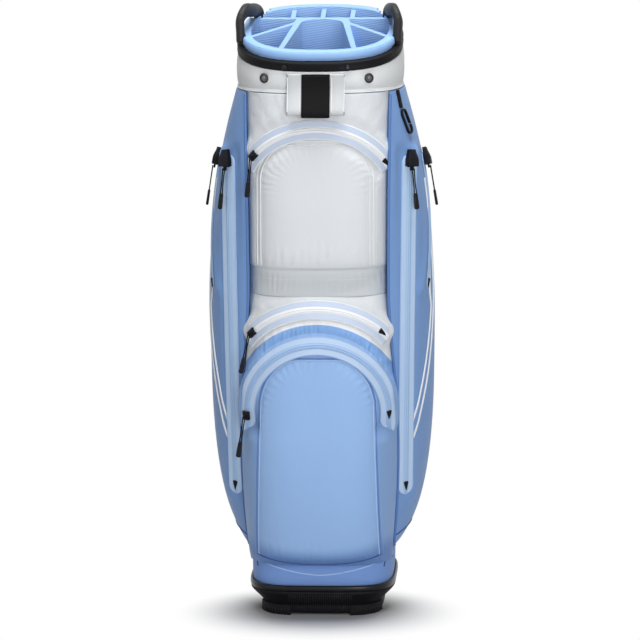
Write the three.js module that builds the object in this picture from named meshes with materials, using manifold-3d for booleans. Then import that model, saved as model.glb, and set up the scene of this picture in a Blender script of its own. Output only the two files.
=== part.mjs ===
// A free-standing cart golf bag: moulded base, fabric tube on stays, 9-way divider top,
// four zipped pockets, lift handles and a shoulder strap.
// Millimetres, +Z up. The pockets face -Y, and the bag stands on z = 0 under the middle of its box.
import * as THREE from 'three';
import { mergeVertices } from 'three/addons/utils/BufferGeometryUtils.js';
import Module from 'manifold-3d';

const wasm = await Module();
wasm.setup();

// Clearances and cloth
const gap = 0.3; // between parts that touch
const pocketCloth = 2.5; // pocket cloth with its foam and lining

// Base tub
const baseHeight = 46;
const baseHalfWidth = 107.5;
const baseHalfDepth = 118;
const baseSquareness = 4;
const baseWall = 2.7;
const baseFloor = 4;
const baseLift = 3; // the feet hold the tub this far off the ground
const baseTaperTop = 33; // the sides run straight above this height
const baseTaperFoot = 16;
const baseSideTaper = 17;
const baseFrontTaper = 9;
const baseLedge = 10; // shelf inside the tub that carries the tube and the stays
const footInner = 44;
const footHeight = 15;
const footProud = 2.5;
const footReach = 42; // how far each foot runs back along the side
const footGrooves = 5;
const footGrooveWidth = 2.6;

// Body tube
const tubeTopHalfWidth = 117;
const tubeTopHalfDepth = 113;
const tubeTopSquareness = 2.6;
const tubeWall = 2.5;
const stayRadius = 2.8;
const stayClearance = 0.5;

// Top collar, slanted down to the front
const rimFrontHeight = 806;
const rimTilt = 13;
const collarHeight = 13;
const collarProud = 0.5;
const collarRibs = 9;
const studSpacing = 92;
const studRadius = 4.2;

// Padded cuff
const cuffDepth = 32; // the hem hangs this far under the collar
const cuffHem = rimFrontHeight - cuffDepth;
const cuffThickness = 4;
const cuffTuck = 1.2; // the hem draws in by this much
const snapSpacing = 152;
const snapDrop = 14; // snaps sit this far under the collar
const snapRadius = 7;

// Divider top and divider panels
const dividerInset = 9.5; // divider outline inside the tube's outline, leaving room for the stays
const dividerDepth = 46;
const lipHeight = 12.5;
const lipProud = 6;
const wellRecess = 4; // the walls between wells stand this far under the lip
const outerWall = 6;
const wellWall = 7;
const panelThickness = 1.2;
const rowBack = 56; // middle of the wall in front of the back row
const backRowSplit = 44;
const putterBackHalf = 35;
const putterFrontHalf = 58;
const putterRounding = 0.6; // how deep the putter well's rear end is rounded, as a share of its half width
const sideWallInner = 32; // the wall between the two wells on each side runs outwards and forwards
const sideWallOuter = -44;

// Lift handles beside the divider
const handleWidth = 13;
const handleDepth = 21;
const handleRise = 46; // above the collar's top at the front leg
const handleFrontY = -32;
const handleBackY = 78;
const handleNotchFront = 7.5; // half the width of each notch in the divider's lip
const handleNotchRear = 9;
const handleNotchLength = 34;
const handleNotchStart = 0.79; // where the rear notch begins along the handle's path, as a share of it

// Front lift handle
const liftPadWidth = 84;
const liftPadThickness = 3.5;
const liftPadLength = 58;
const liftStandOff = 17;
const liftWebWidth = 41;
const webThickness = 2;

// Pockets
const pocketTop = cuffHem - gap;
const upperFoot = 479;
const upperBulge = 30;
const ballFoot = 80;
const ballBulge = 69;
const frontRounding = 3.1;
const frontSpread = 8; // the front outline runs on this far past the side pocket's edge
const apparelFoot = 92;
const apparelBulge = 55.6;
const apparelFrontBulge = 7;
const apparelRounding = 2.5;
const apparelBackEdge = 72;
const pocketSeam = 62; // the front pockets meet the side pockets this far in front of the middle

// Zips
const upperZipDrop = 50.7; // each arch's crown under the top of its pocket, or above the ball pocket's foot
const upperZipRise = 40;
const upperZipReach = 91; // how far out each end of the arch lies
const upperZipLean = 8;
const middleZipDrop = 16;
const middleZipRise = 38;
const middleZipReach = 94;
const ballZipDrop = 67;
const ballZipRise = 106;
const ballZipReach = 103;
const ballZipLean = 14;
const edgeZipDrop = 105.7; // the upper end under the pocket's top
const edgeZipMiddle = 343.7;
const edgeZipLift = 98; // the lower end above the pocket's foot
const edgeZipTopX = 132.5;
const edgeZipMiddleX = 129;
const edgeZipFootX = 125;
const outerZipDrop = 111.7;
const outerZipMiddle = 195.7;
const outerZipFoot = 281.7;
const outerZipTopY = 2;
const outerZipMiddleY = -22;
const outerZipFootY = -50;
const tapeWidth = 28;
const tapeThickness = 1.6;
const teethWidth = 6;
const teethHeight = 1.4;
const sideTapeWidth = 20;
const sliderWidth = 11;
const sliderLength = 13;
const zipBedDepth = 9; // how far a zip's bed of cloth goes into its pocket
const zipBedMargin = 3;
const zipWayHeight = 40; // the slider's way is cut this far out of the pocket
const sliderHeight = 5;
const bailWidth = 5;
const bailLength = 6;
const bailHeight = 1.4;
const cordRadius = 0.9;
const cordSpacing = 4.2;
const cordLength = 38;
const gripLength = 24;
const gripWidth = 8.5;
const gripThickness = 4.5;
const garageWidth = 18;
const garageLength = 25;
const garageHeight = 10;
const garageWall = 1.8;

// Accessory tether and clip
const tetherWidth = 9;
const tetherLength = 26;
const tetherX = 114.5;
const tetherDrift = 5.5; // how far the tether and then the clip swing outwards as they hang
const clipDrift = 7;
const clipGate = 14;
const clipLength = 40;
const clipWidth = 15;
const clipThickness = 3.6;
const clipBar = 3;

// Shoulder strap
const strapPadWidth = 62;
const strapPadThickness = 13;
const strapWebWidth = 38;
const strapTopDrop = 32; // the webbing's straight part starts this far under the cuff's hem
const strapTop = cuffHem - strapTopDrop;
const strapFoot = 330;
const strapBow = 15;
const anchorThickness = 3;
const anchorBarStand = 9;
const anchorBarRadius = 2.5;
const anchorHeight = 26;

const reach = 1500; // larger than the bag, for cutting blocks
const planSides = 40;
const zipChords = 7;
const zipChordAngle = 10;

const vec = (x, y, z) => new THREE.Vector3(x, y, z);
const radians = THREE.MathUtils.degToRad;
const lerp = THREE.MathUtils.lerp;
const ease = (t) => THREE.MathUtils.smoothstep(t, 0, 1);

// Solids

function toSolid(geometry) {
  const bare = geometry.index ? geometry.clone() : geometry;
  bare.deleteAttribute('normal');
  bare.deleteAttribute('uv');
  const merged = mergeVertices(bare, 1e-4);
  return new wasm.Manifold(new wasm.Mesh({
    numProp: 3,
    vertProperties: merged.attributes.position.array,
    triVerts: new Uint32Array(merged.index.array),
  }));
}

function toGeometry(solid) {
  const { vertProperties, triVerts } = solid.getMesh();
  const geometry = new THREE.BufferGeometry();
  geometry.setAttribute('position', new THREE.BufferAttribute(vertProperties, 3));
  geometry.setIndex(new THREE.BufferAttribute(triVerts, 1));
  return geometry;
}

const placed = (geometry, matrix) => toSolid(geometry.applyMatrix4(matrix));

function box(x0, x1, y0, y1, z0, z1) {
  const geometry = new THREE.BoxGeometry(x1 - x0, y1 - y0, z1 - z0);
  return toSolid(geometry.translate((x0 + x1) / 2, (y0 + y1) / 2, (z0 + z1) / 2));
}

const join = (solids) => solids.reduce((whole, piece) => whole.add(piece));
const cut = (solid, cutters) => cutters.reduce((left, cutter) => left.subtract(cutter), solid);

// Carries a flat outline from t = 0 to t = 1 and puts each of its corners at place(x, y, t).
function swept(outline, steps, place) {
  const shape = new THREE.Shape(outline.map(([x, y]) => new THREE.Vector2(x, y)));
  const geometry = new THREE.ExtrudeGeometry(shape, { depth: 1, steps, bevelEnabled: false });
  const position = geometry.attributes.position;
  for (let i = 0; i < position.count; i += 1) {
    const corner = place(position.getX(i), position.getY(i), position.getZ(i));
    position.setXYZ(i, corner.x, corner.y, corner.z);
  }
  return toSolid(geometry);
}

// A flat strap along a path of points that lie in a plane x = constant, with its width along x.
function ribbon(path, width, thickness) {
  const last = path.length - 1;
  const half = width / 2;
  const thin = thickness / 2;
  const outline = [[-half, -thin], [half, -thin], [half, thin], [-half, thin]];
  return swept(outline, last, (x, y, t) => {
    const i = Math.round(t * last);
    const before = path[Math.max(i - 1, 0)];
    const after = path[Math.min(i + 1, last)];
    const along = after.clone().sub(before).normalize();
    const face = vec(0, along.z, -along.y);
    const stretch = 1 / Math.max(0.7, along.dot(after.clone().sub(path[i]).normalize()) || 1);
    return path[i].clone().add(vec(x, 0, 0)).addScaledVector(face, y * stretch);
  });
}

function mirrored(geometry) {
  const flipped = geometry.clone().scale(-1, 1, 1);
  const index = flipped.index.array;
  for (let i = 0; i < index.length; i += 3) {
    [index[i], index[i + 1]] = [index[i + 1], index[i]];
  }
  return flipped;
}

// A smooth curve through [place, value] stations, read at any place.
function stations(list) {
  const slopes = list.map((entry, i) => {
    const [lowAt, low] = list[Math.max(i - 1, 0)];
    const [highAt, high] = list[Math.min(i + 1, list.length - 1)];
    return (high - low) / (highAt - lowAt);
  });
  return (at) => {
    const clamped = THREE.MathUtils.clamp(at, list[0][0], list[list.length - 1][0]);
    const next = Math.max(list.findIndex(([place]) => place >= clamped), 1);
    const [fromAt, from] = list[next - 1];
    const [toAt, to] = list[next];
    const span = toAt - fromAt;
    const t = (clamped - fromAt) / span;
    const start = (1 + 2 * t) * (1 - t) ** 2 * from + t * (1 - t) ** 2 * span * slopes[next - 1];
    const end = t * t * (3 - 2 * t) * to + t * t * (t - 1) * span * slopes[next];
    return start + end;
  };
}

// Plans: rounded outlines { width, depth, squareness } that change with height

const circle = Array.from({ length: planSides }, (unused, i) => {
  const angle = (2 * Math.PI * (i + 0.5)) / planSides;
  return [Math.cos(angle), Math.sin(angle)];
});

function planCorner(x, y, plan, z) {
  const power = 2 / plan.squareness;
  const along = Math.abs(x) ** power;
  const across = Math.abs(y) ** power;
  return vec(Math.sign(x) * along * plan.width, Math.sign(y) * across * plan.depth, z);
}

// The depth of a plan at a distance x from the middle, and its width at a distance y.
const depthAt = (plan, x) => (
  plan.depth * (1 - (Math.abs(x) / plan.width) ** plan.squareness) ** (1 / plan.squareness));
const widthAt = (plan, y) => (
  plan.width * (1 - (Math.abs(y) / plan.depth) ** plan.squareness) ** (1 / plan.squareness));

function planNormal(plan, x, y) {
  const power = plan.squareness - 1;
  const nx = Math.sign(x) * Math.abs(x) ** power / plan.width ** plan.squareness;
  const ny = Math.sign(y) * Math.abs(y) ** power / plan.depth ** plan.squareness;
  return vec(nx, ny, 0).normalize();
}

// A solid with a plan outline at each of the given heights.
function stack(planOf, heights) {
  const last = heights.length - 1;
  return swept(circle, last, (x, y, t) => {
    const z = heights[Math.round(t * last)];
    return planCorner(x, y, planOf(z), z);
  });
}

function grown(planOf, amount) {
  return (z) => {
    const plan = planOf(z);
    return { ...plan, width: plan.width + amount, depth: plan.depth + amount };
  };
}

function basePlan(z) {
  const share = THREE.MathUtils.clamp((baseTaperTop - z) / (baseTaperTop - baseTaperFoot), 0, 1);
  return {
    width: baseHalfWidth - baseSideTaper * share,
    depth: baseHalfDepth - baseFrontTaper * share,
    squareness: baseSquareness,
  };
}

const tubeFootHalfWidth = baseHalfWidth - baseWall - gap;
const tubeFootHalfDepth = baseHalfDepth - baseWall - gap;
const tubeFoot = baseTaperTop + 1;

function tubePlan(z) {
  const share = (z - tubeFoot) / (rimFrontHeight - tubeFoot);
  return {
    width: lerp(tubeFootHalfWidth, tubeTopHalfWidth, share),
    depth: lerp(tubeFootHalfDepth, tubeTopHalfDepth, share),
    squareness: lerp(baseSquareness, tubeTopSquareness, Math.min(share, 1)),
  };
}

const tubeLevels = [0, 0.25, 0.5, 0.75, 1].map((part) => lerp(tubeFoot, rimFrontHeight, part));

const topPlan = (amount) => ({
  width: tubeTopHalfWidth + amount,
  depth: tubeTopHalfDepth + amount,
  squareness: tubeTopSquareness,
});

// Rim planes: parallel to the collar's lower face, some height above it

const rimFrontY = -(tubeTopHalfDepth + cuffThickness);
const rimHeight = (y) => rimFrontHeight + Math.tan(radians(rimTilt)) * (y - rimFrontY);

function overRim(lift) {
  const geometry = new THREE.BoxGeometry(reach, reach, reach).translate(0, 0, reach / 2);
  const matrix = new THREE.Matrix4().makeRotationX(radians(rimTilt));
  matrix.setPosition(0, rimFrontY, rimFrontHeight + lift);
  return placed(geometry, matrix);
}

const overTop = rimFrontHeight + 2 * dividerDepth; // clears the top of the divider
const aboveRim = overRim(0);
const rimCut = overRim(-gap);
const collarTopCut = overRim(collarHeight);
const collarSeat = overRim(collarHeight + gap);
const lipTop = collarHeight + gap + lipHeight;

const bag = new THREE.Group();

function addPart(name, geometry, material) {
  const mesh = new THREE.Mesh(geometry, material);
  mesh.name = name;
  bag.add(mesh);
  return mesh;
}

const material = (color, roughness, metalness = 0) => (
  new THREE.MeshStandardMaterial({ color, roughness, metalness }));
const blueCloth = material('#93b5e3', 0.55);
const deepBlueCloth = material('#7ba0d6', 0.6);
const whiteCloth = material('#dbdfe3', 0.5);
const paleTape = material('#a9c6ea', 0.4);
const blueDivider = material('#86acdc', 0.7);
const blackPlastic = material('#17171b', 0.45);
const blackRubber = material('#121214', 0.8);
const blackWebbing = material('#161617', 0.9);
const steel = material('#b9bcc2', 0.3, 1);
const fibreglass = material('#3a3d42', 0.5);

// Base, feet, stays and body tube

function ledgePlan(z) {
  const plan = basePlan(z);
  return { ...plan, width: plan.width - baseLedge - baseWall, depth: plan.depth - baseLedge - baseWall };
}

const baseLevels = [baseLift, baseTaperFoot, baseTaperTop, baseHeight];

function addBase() {
  const outside = stack(basePlan, baseLevels);
  const seat = stack(grown(basePlan, -baseWall), [tubeFoot - gap, baseHeight + 1]);
  const hollow = stack(ledgePlan, [0, baseTaperFoot, baseTaperTop, baseHeight]);
  addPart('base_tub', toGeometry(cut(outside, [seat, hollow])), blackPlastic);
  const floor = stack(grown(ledgePlan, -gap), [baseLift, baseLift + baseFloor]);
  addPart('base_floor', toGeometry(floor), blackPlastic);
}

function footSolid(side, end) {
  const [x0, x1] = side > 0 ? [footInner, reach] : [-reach, -footInner];
  const inner = baseHalfDepth - baseFrontTaper - footReach;
  const [y0, y1] = end > 0 ? [inner, reach] : [-reach, -inner];
  const skin = stack(() => grown(basePlan, footProud)(baseLift), [0, footHeight]);
  const tub = stack(grown(basePlan, gap), [baseLift - gap, ...baseLevels.slice(1)]);
  const grooveStep = (baseHalfWidth - baseSideTaper - footInner) / (footGrooves + 2);
  const grooves = Array.from({ length: footGrooves }, (unused, i) => {
    const x = side * (footInner + (i + 1) * grooveStep);
    const y = end * (baseHalfDepth - baseFrontTaper + footProud);
    const half = footGrooveWidth / 2;
    return box(x - half, x + half, y - footProud * 0.7, y + footProud * 0.7, baseLift, footHeight + 1);
  });
  return cut(skin.intersect(box(x0, x1, y0, y1, -1, footHeight + 1)), [tub, ...grooves]);
}

function addFeet() {
  for (const [end, row] of [[-1, 'front'], [1, 'rear']]) {
    for (const [side, name] of [[-1, 'left'], [1, 'right']]) {
      addPart(`foot_${row}_${name}`, toGeometry(footSolid(side, end)), blackRubber);
    }
  }
}

function stayEnds(direction) {
  const inset = tubeWall + stayClearance + stayRadius;
  const spot = (z) => {
    const plan = tubePlan(z);
    return vec(direction.x * (plan.width - inset), direction.y * (plan.depth - inset), z);
  };
  const top = rimHeight(direction.y * (tubeTopHalfDepth - inset)) - stayRadius;
  return [spot(tubeFoot), spot(top)];
}

function staySolid(direction) {
  const [foot, head] = stayEnds(direction);
  const axis = head.clone().sub(foot);
  const geometry = new THREE.CylinderGeometry(stayRadius, stayRadius, axis.length(), 12);
  const turn = new THREE.Quaternion().setFromUnitVectors(vec(0, 1, 0), axis.clone().normalize());
  const middle = foot.clone().add(head).multiplyScalar(0.5);
  const matrix = new THREE.Matrix4().compose(middle, turn, vec(1, 1, 1));
  return placed(geometry, matrix);
}

function addTubeAndStays() {
  const outside = stack(tubePlan, [...tubeLevels, overTop]);
  const inside = stack(grown(tubePlan, -tubeWall), [tubeFoot - 1, ...tubeLevels.slice(1), overTop + 1]);
  addPart('body_tube', toGeometry(cut(outside, [inside, rimCut])), blueCloth);
  const places = { stay_left: vec(-1, 0, 0), stay_right: vec(1, 0, 0), stay_rear: vec(0, 1, 0) };
  for (const [name, direction] of Object.entries(places)) {
    addPart(name, toGeometry(staySolid(direction)), fibreglass);
  }
}

// Divider: four wells at the back, two on each side, and a long one in the middle flared for the putter

// Half the putter well's width, which grows towards the front.
function putterFlare(y) {
  const share = (rowBack - y) / (rowBack + tubeTopHalfDepth);
  return lerp(putterBackHalf, putterFrontHalf, share);
}

function wellOutlines(wall) {
  const half = wall / 2;
  const side = tubeTopHalfWidth;
  const back = tubeTopHalfDepth;
  const edges = [-side, -backRowSplit, 0, backRowSplit, side];
  const backRow = edges.slice(1).map((x1, i) => {
    const x0 = edges[i];
    return [[x0 + half, rowBack + half], [x1 - half, rowBack + half], [x1 - half, back], [x0 + half, back]];
  });
  const roundEnd = Array.from({ length: 9 }, (unused, i) => {
    const angle = (Math.PI * i) / 8;
    const radius = putterBackHalf - half;
    return [radius * Math.cos(angle), rowBack - half - radius * putterRounding * (1 - Math.sin(angle))];
  });
  const mouth = putterFlare(-back) - half;
  const putter = [[-mouth, -back], [mouth, -back], ...roundEnd];
  const run = side - putterFlare(sideWallInner);
  const slant = (half * Math.hypot(run, sideWallInner - sideWallOuter)) / run;
  const rear = [[putterFlare(sideWallInner) + half, sideWallInner + slant], [side, sideWallOuter + slant],
    [side, rowBack - half], [putterFlare(rowBack) + half, rowBack - half]];
  const front = [[mouth + wall, -back], [side, -back], [side, sideWallOuter - slant],
    [putterFlare(sideWallInner) + half, sideWallInner - slant]];
  const mirrored = (outline) => outline.map(([x, y]) => [-x, y]).reverse();
  return [...backRow, putter, mirrored(rear), mirrored(front), rear, front];
}

function prism(outline, foot, top) {
  return swept(outline, 1, (x, y, t) => vec(x, y, lerp(foot, top, t)));
}

function addDivider() {
  const plug = stack(() => topPlan(-dividerInset), [rimFrontHeight - dividerDepth, overTop]);
  const lip = stack(() => topPlan(-dividerInset + lipProud), [rimFrontHeight, overTop]);
  const lipOnly = lip.intersect(collarSeat);
  const wells = wellOutlines(wellWall).map((outline) => prism(outline, 0, reach));
  const inner = stack(() => topPlan(-dividerInset - outerWall), [0, reach]);
  const wellSpace = join(wells).intersect(inner);
  const recess = inner.intersect(overRim(lipTop - wellRecess));
  const whole = plug.add(lipOnly);
  const solid = cut(whole,
    [overRim(lipTop), wellSpace, recess, ...handleNotches('right'), ...handleNotches('left')]);
  addPart('divider_top', toGeometry(solid), blueDivider);
}

function addDividerPanels() {
  const top = rimFrontHeight - dividerDepth - gap;
  const foot = baseLift + baseFloor + gap;
  const inset = tubeWall + 2 * (stayRadius + stayClearance);
  const inside = stack(grown(tubePlan, -inset), [...tubeLevels.slice(0, -1), top]);
  const low = stack(grown(ledgePlan, -gap), [foot, baseTaperFoot, tubeFoot]);
  const wells = wellOutlines(panelThickness).map((outline) => prism(outline, 0, reach));
  addPart('divider_panels', toGeometry(cut(inside.add(low), wells)), deepBlueCloth);
}

// Collar, handles, cuff, studs and snaps

function handlePath() {
  const lean = Math.tan(radians(rimTilt));
  const seat = (y) => rimHeight(y) + collarHeight + gap;
  const frontX = tubeTopHalfWidth - 2.5;
  const peak = seat(handleFrontY) + handleRise;
  const mid = (handleFrontY + handleBackY) / 2;
  const backX = widthAt(topPlan(0), handleBackY) - 1;
  return new THREE.CatmullRomCurve3([
    vec(frontX, handleFrontY - 4, seat(handleFrontY) - 6),
    vec(frontX + 0.5, handleFrontY - 3, lerp(seat(handleFrontY), peak, 0.35)),
    vec(frontX + 1, handleFrontY + 1, lerp(seat(handleFrontY), peak, 0.75)),
    vec(frontX - 5, handleFrontY + 14, peak),
    vec(frontX - 12, mid - 8, peak + lean * 6 - 3),
    vec(lerp(frontX, backX, 0.8), mid + 26, peak - 4),
    vec(backX, handleBackY - 6, seat(handleBackY) + 10),
    vec(backX - 1, handleBackY, seat(handleBackY) - 8),
  ]);
}

function handleSolid() {
  const path = handlePath();
  const half = handleWidth / 2;
  const deep = handleDepth / 2;
  const corner = 0.45;
  const outline = [
    [-half, -deep * corner], [-half * corner, -deep], [half * corner, -deep], [half, -deep * corner],
    [half, deep * corner], [half * corner, deep], [-half * corner, deep], [-half, deep * corner]];
  const bar = swept(outline, 22, (x, y, t) => {
    const centre = path.getPoint(t);
    const along = path.getTangent(t);
    const outward = planNormal(topPlan(0), centre.x, centre.y);
    const side = outward.clone().addScaledVector(along, -outward.dot(along)).normalize();
    const lift = along.clone().cross(side);
    const slim = lerp(0.72, 1, Math.sin(Math.PI * t));
    return centre.addScaledVector(side, x).addScaledVector(lift, y * slim);
  });
  return bar.intersect(collarSeat);
}

// Flat-sided notches in the divider's lip, where the front and rear ends of a handle stand on the collar.
function handleNotches(side) {
  const path = handlePath();
  const notches = [[0, handleNotchFront], [handleNotchStart, handleNotchRear], [1, handleNotchRear]];
  return notches.map(([t, inward]) => {
    const foot = path.getPoint(t);
    const outward = planNormal(topPlan(0), foot.x, foot.y);
    const block = new THREE.BoxGeometry(2 * inward, handleNotchLength, 4 * handleRise);
    block.rotateZ(Math.atan2(outward.y, outward.x)).translate(foot.x, foot.y, foot.z);
    const notch = toSolid(block).intersect(collarSeat);
    return side === 'right' ? notch : notch.mirror([1, 0, 0]);
  });
}

function addHandles() {
  const right = toGeometry(handleSolid());
  addPart('handle_right', right, blackPlastic);
  addPart('handle_left', mirrored(right), blackPlastic);
}

function addCollar() {
  const outside = stack(() => topPlan(cuffThickness + collarProud), [rimFrontHeight - 10, overTop]);
  const inside = stack(() => topPlan(-dividerInset + gap), [0, reach]);
  const ring = cut(outside.intersect(aboveRim), [collarTopCut, inside]);
  const ribs = Array.from({ length: collarRibs }, (unused, i) => {
    const x = (i - (collarRibs - 1) / 2) * 6;
    const y = -depthAt(topPlan(cuffThickness + collarProud), x);
    return box(x - 1.1, x + 1.1, y - 1, y + 2, rimFrontHeight + 2, rimFrontHeight + collarHeight - 2);
  });
  addPart('top_collar', toGeometry(join([ring, ...ribs])), blackPlastic);
}

function addCuff() {
  const outside = stack((z) => topPlan(cuffThickness - (z === cuffHem ? cuffTuck : 0)),
    [cuffHem, cuffHem + 5, overTop]);
  const inside = stack(grown(tubePlan, gap), [cuffHem - 1, rimFrontHeight, overTop + 1]);
  addPart('top_cuff', toGeometry(cut(outside, [inside, rimCut])), whiteCloth);
}

// Turns a lathed part so that its axis runs along a direction from a point.
function facing(point, direction) {
  const turn = new THREE.Quaternion().setFromUnitVectors(vec(0, 1, 0), direction);
  return new THREE.Matrix4().compose(point, turn, vec(1, 1, 1));
}

function button(radius, height, crown) {
  const profile = [[0, 0], [radius, 0], [radius, height * 0.5], [radius * 0.72, height],
    [radius * 0.45, height * 0.75], [radius * 0.3, height + crown], [0, height + crown]];
  return new THREE.LatheGeometry(profile.map(([r, y]) => new THREE.Vector2(r, y)), 12);
}

function addSnapsAndStuds() {
  const cuff = topPlan(cuffThickness + gap);
  for (const [end, row] of [[-1, 'front'], [1, 'rear']]) {
    for (const [side, name] of [[-1, 'left'], [1, 'right']]) {
      const x = side * snapSpacing / 2;
      const y = end * depthAt(cuff, x);
      const spot = vec(x, y, rimHeight(y) - snapDrop);
      const geometry = button(snapRadius, 2.4, 0.4).applyMatrix4(facing(spot, planNormal(cuff, x, y)));
      addPart(`hood_snap_${row}_${name}`, toGeometry(toSolid(geometry)), steel);
    }
  }
  const collar = topPlan(cuffThickness + collarProud + gap);
  for (const [side, name] of [[-1, 'left'], [1, 'right']]) {
    const x = side * studSpacing / 2;
    const y = -depthAt(collar, x);
    const spot = vec(x, y, rimHeight(y) + studRadius + 0.5);
    const geometry = button(studRadius, 2.2, 0.2).applyMatrix4(facing(spot, planNormal(collar, x, y)));
    addPart(`collar_stud_${name}`, toGeometry(toSolid(geometry)), blackPlastic);
  }
}

// Front lift handle: a pad that hangs from the cuff, and webbing that wraps its lower edge

function addLiftHandle() {
  const cuffFront = -(topPlan(cuffThickness).depth + gap);
  const top = rimFrontHeight - 3;
  const foot = top - liftPadLength;
  const back = (t) => cuffFront - liftStandOff * ease(t) * t;
  const lane = (x, depth, t, height) => vec(x, back(t) - depth, lerp(top, height, t));
  const half = liftPadWidth / 2;
  const padOutline = [[-half, 0], [half, 0], [half, liftPadThickness], [-half, liftPadThickness]];
  const pad = swept(padOutline, 8, (x, y, t) => lane(x, y, t, foot));
  addPart('lift_handle_pad', toGeometry(pad), whiteCloth);
  const front = liftPadThickness + 3 * gap + webThickness / 2;
  const turnRadius = liftPadThickness / 2 + gap + webThickness / 2;
  const turns = [0.25, 0.5, 0.75].map((part) => part * Math.PI);
  const path = [
    ...[0, 0.2, 0.4, 0.6, 0.8, 1].map((t) => vec(0, back(t) - front, lerp(top, foot, t))),
    ...turns.map((angle) => vec(0, back(1) - liftPadThickness / 2 - turnRadius * Math.cos(angle),
      foot - turnRadius * Math.sin(angle))),
    ...[1, 0.9, 0.8].map((t) => vec(0, back(t) + gap + webThickness / 2 + 0.2, lerp(top, foot, t))),
  ];
  addPart('lift_handle_webbing', toGeometry(ribbon(path, liftWebWidth, webThickness)), blackWebbing);
}

// Pocket outlines

// Half the width of the front pockets up the bag.
const pocketEdge = stations([
  [ballFoot, baseHalfWidth - 3], [200, 113], [300, 113.5], [400, 106], [480, 101], [pocketTop, 104]]);
const share = (z, foot, top) => (z - foot) / (top - foot);

const upperSwell = [
  [0, 0.6], [0.1, 0.45], [0.135, 0.52], [0.15, 0.9], [0.2, 0.99], [0.28, 0.95], [0.42, 0.85], [0.58, 0.69],
  [0.75, 0.5], [0.83, 0.4], [0.9, 0.27], [1, 0.14]];
const ballSwell = [
  [0, 0.28], [0.04, 0.62], [0.1, 0.84], [0.18, 0.95], [0.3, 1], [0.43, 0.985], [0.55, 0.92], [0.68, 0.82],
  [0.79, 0.71], [0.84, 0.66], [0.91, 0.57], [0.965, 0.46], [1, 0.28]];
const apparelSwell = [
  [0, 0.03], [0.022, 0.26], [0.06, 0.52], [0.12, 0.745], [0.2, 0.9], [0.3, 0.985], [0.42, 1], [0.54, 0.985],
  [0.65, 0.91], [0.75, 0.8], [0.84, 0.63], [0.92, 0.4], [1, 0.12]];

function frontPlan(bulge, swell, foot, top) {
  const swellAt = stations(swell);
  return (z) => {
    const depth = tubePlan(z).depth + bulge * swellAt(share(z, foot, top));
    return { width: pocketEdge(z) + frontSpread, depth, squareness: frontRounding };
  };
}

const upperPlan = frontPlan(upperBulge, upperSwell, upperFoot, pocketTop);
const ballPlan = frontPlan(ballBulge, ballSwell, ballFoot, upperFoot - gap);

const apparelSwellAt = stations(apparelSwell);

function apparelPlan(z) {
  const tube = tubePlan(z);
  const swell = apparelSwellAt(share(z, apparelFoot, pocketTop));
  return {
    width: tube.width + apparelBulge * swell,
    depth: tube.depth + apparelFrontBulge * Math.min(1, 1.4 * swell),
    squareness: lerp(tube.squareness, apparelRounding, Math.min(1, 2 * swell)),
  };
}

// Blocks that bound the pockets: between the side pockets' edges in front, and outside them at the sides.
function frontBlock(inset) {
  const outline = [[-1, -reach], [1, -reach], [1, -pocketSeam], [-1, -pocketSeam]];
  return swept(outline, 10, (x, y, t) => {
    const z = lerp(ballFoot - 20, pocketTop + 20, t);
    return vec(x * (pocketEdge(z) - inset), y, z);
  });
}

function sideBlock(inset) {
  const seam = -pocketSeam + gap;
  const edge = [[0, -reach], [reach, -reach], [reach, reach], [1, reach], [1, seam], [0, seam]];
  return swept(edge, 10, (x, y, t) => {
    const z = lerp(ballFoot - 20, pocketTop + 20, t);
    const inner = x === 0 ? pocketEdge(z) + gap : apparelBackEdge;
    return vec((x > 1 ? x : inner) + inset, y, z);
  });
}

// Zips: the track is an arc through three points on the cloth, so its slider turns about the arc's centre

function zipArc(start, middle, end, normal) {
  const a = start.clone().sub(end);
  const b = middle.clone().sub(end);
  const axis = middle.clone().sub(start).cross(end.clone().sub(middle)).normalize();
  const across = a.clone().cross(b);
  const towards = b.clone().multiplyScalar(a.lengthSq()).addScaledVector(a, -b.lengthSq());
  const centre = towards.cross(across).divideScalar(2 * across.lengthSq()).add(end);
  const spoke = middle.clone().sub(centre);
  const radius = spoke.length();
  const travel = axis.clone().cross(spoke).normalize();
  const outward = normal.clone().addScaledVector(travel, -normal.dot(travel)).normalize();
  const side = travel.clone().cross(outward);
  const angleTo = (point) => {
    const arm = point.clone().sub(centre);
    return Math.atan2(arm.dot(travel), arm.dot(spoke) / radius);
  };
  return { centre, axis, middle, travel, outward, side, radius, from: angleTo(start), to: angleTo(end) };
}

// A frame on the track: x across it, y along the slider's travel, z off the cloth.
function zipFrame(zip, angle) {
  const basis = new THREE.Matrix4().makeBasis(zip.side, zip.travel, zip.outward).setPosition(zip.middle);
  const there = new THREE.Matrix4().makeTranslation(zip.centre.x, zip.centre.y, zip.centre.z);
  const turn = new THREE.Matrix4().makeRotationAxis(zip.axis, angle);
  const back = new THREE.Matrix4().makeTranslation(-zip.centre.x, -zip.centre.y, -zip.centre.z);
  return there.multiply(turn).multiply(back).multiply(basis);
}

// An outline across the track, [across, off the cloth], carried along it with some length past each end.
function alongZip(zip, outline, past) {
  const arc = zip.to - zip.from;
  const chords = Math.max(zipChords, Math.ceil(arc / radians(zipChordAngle)));
  const angles = Array.from({ length: chords + 1 }, (unused, i) => zip.from + (arc * i) / chords);
  const extra = past / zip.radius;
  const all = [zip.from - extra, ...angles, zip.to + extra];
  return swept(outline.map(([x, y]) => [-x, y]), chords + 2, (x, y, t) => (
    vec(-x, 0, y).applyMatrix4(zipFrame(zip, all[Math.round(t * (chords + 2))]))));
}

const slab = (half, low, high) => [[-half, low], [half, low], [half, high], [-half, high]];

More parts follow.
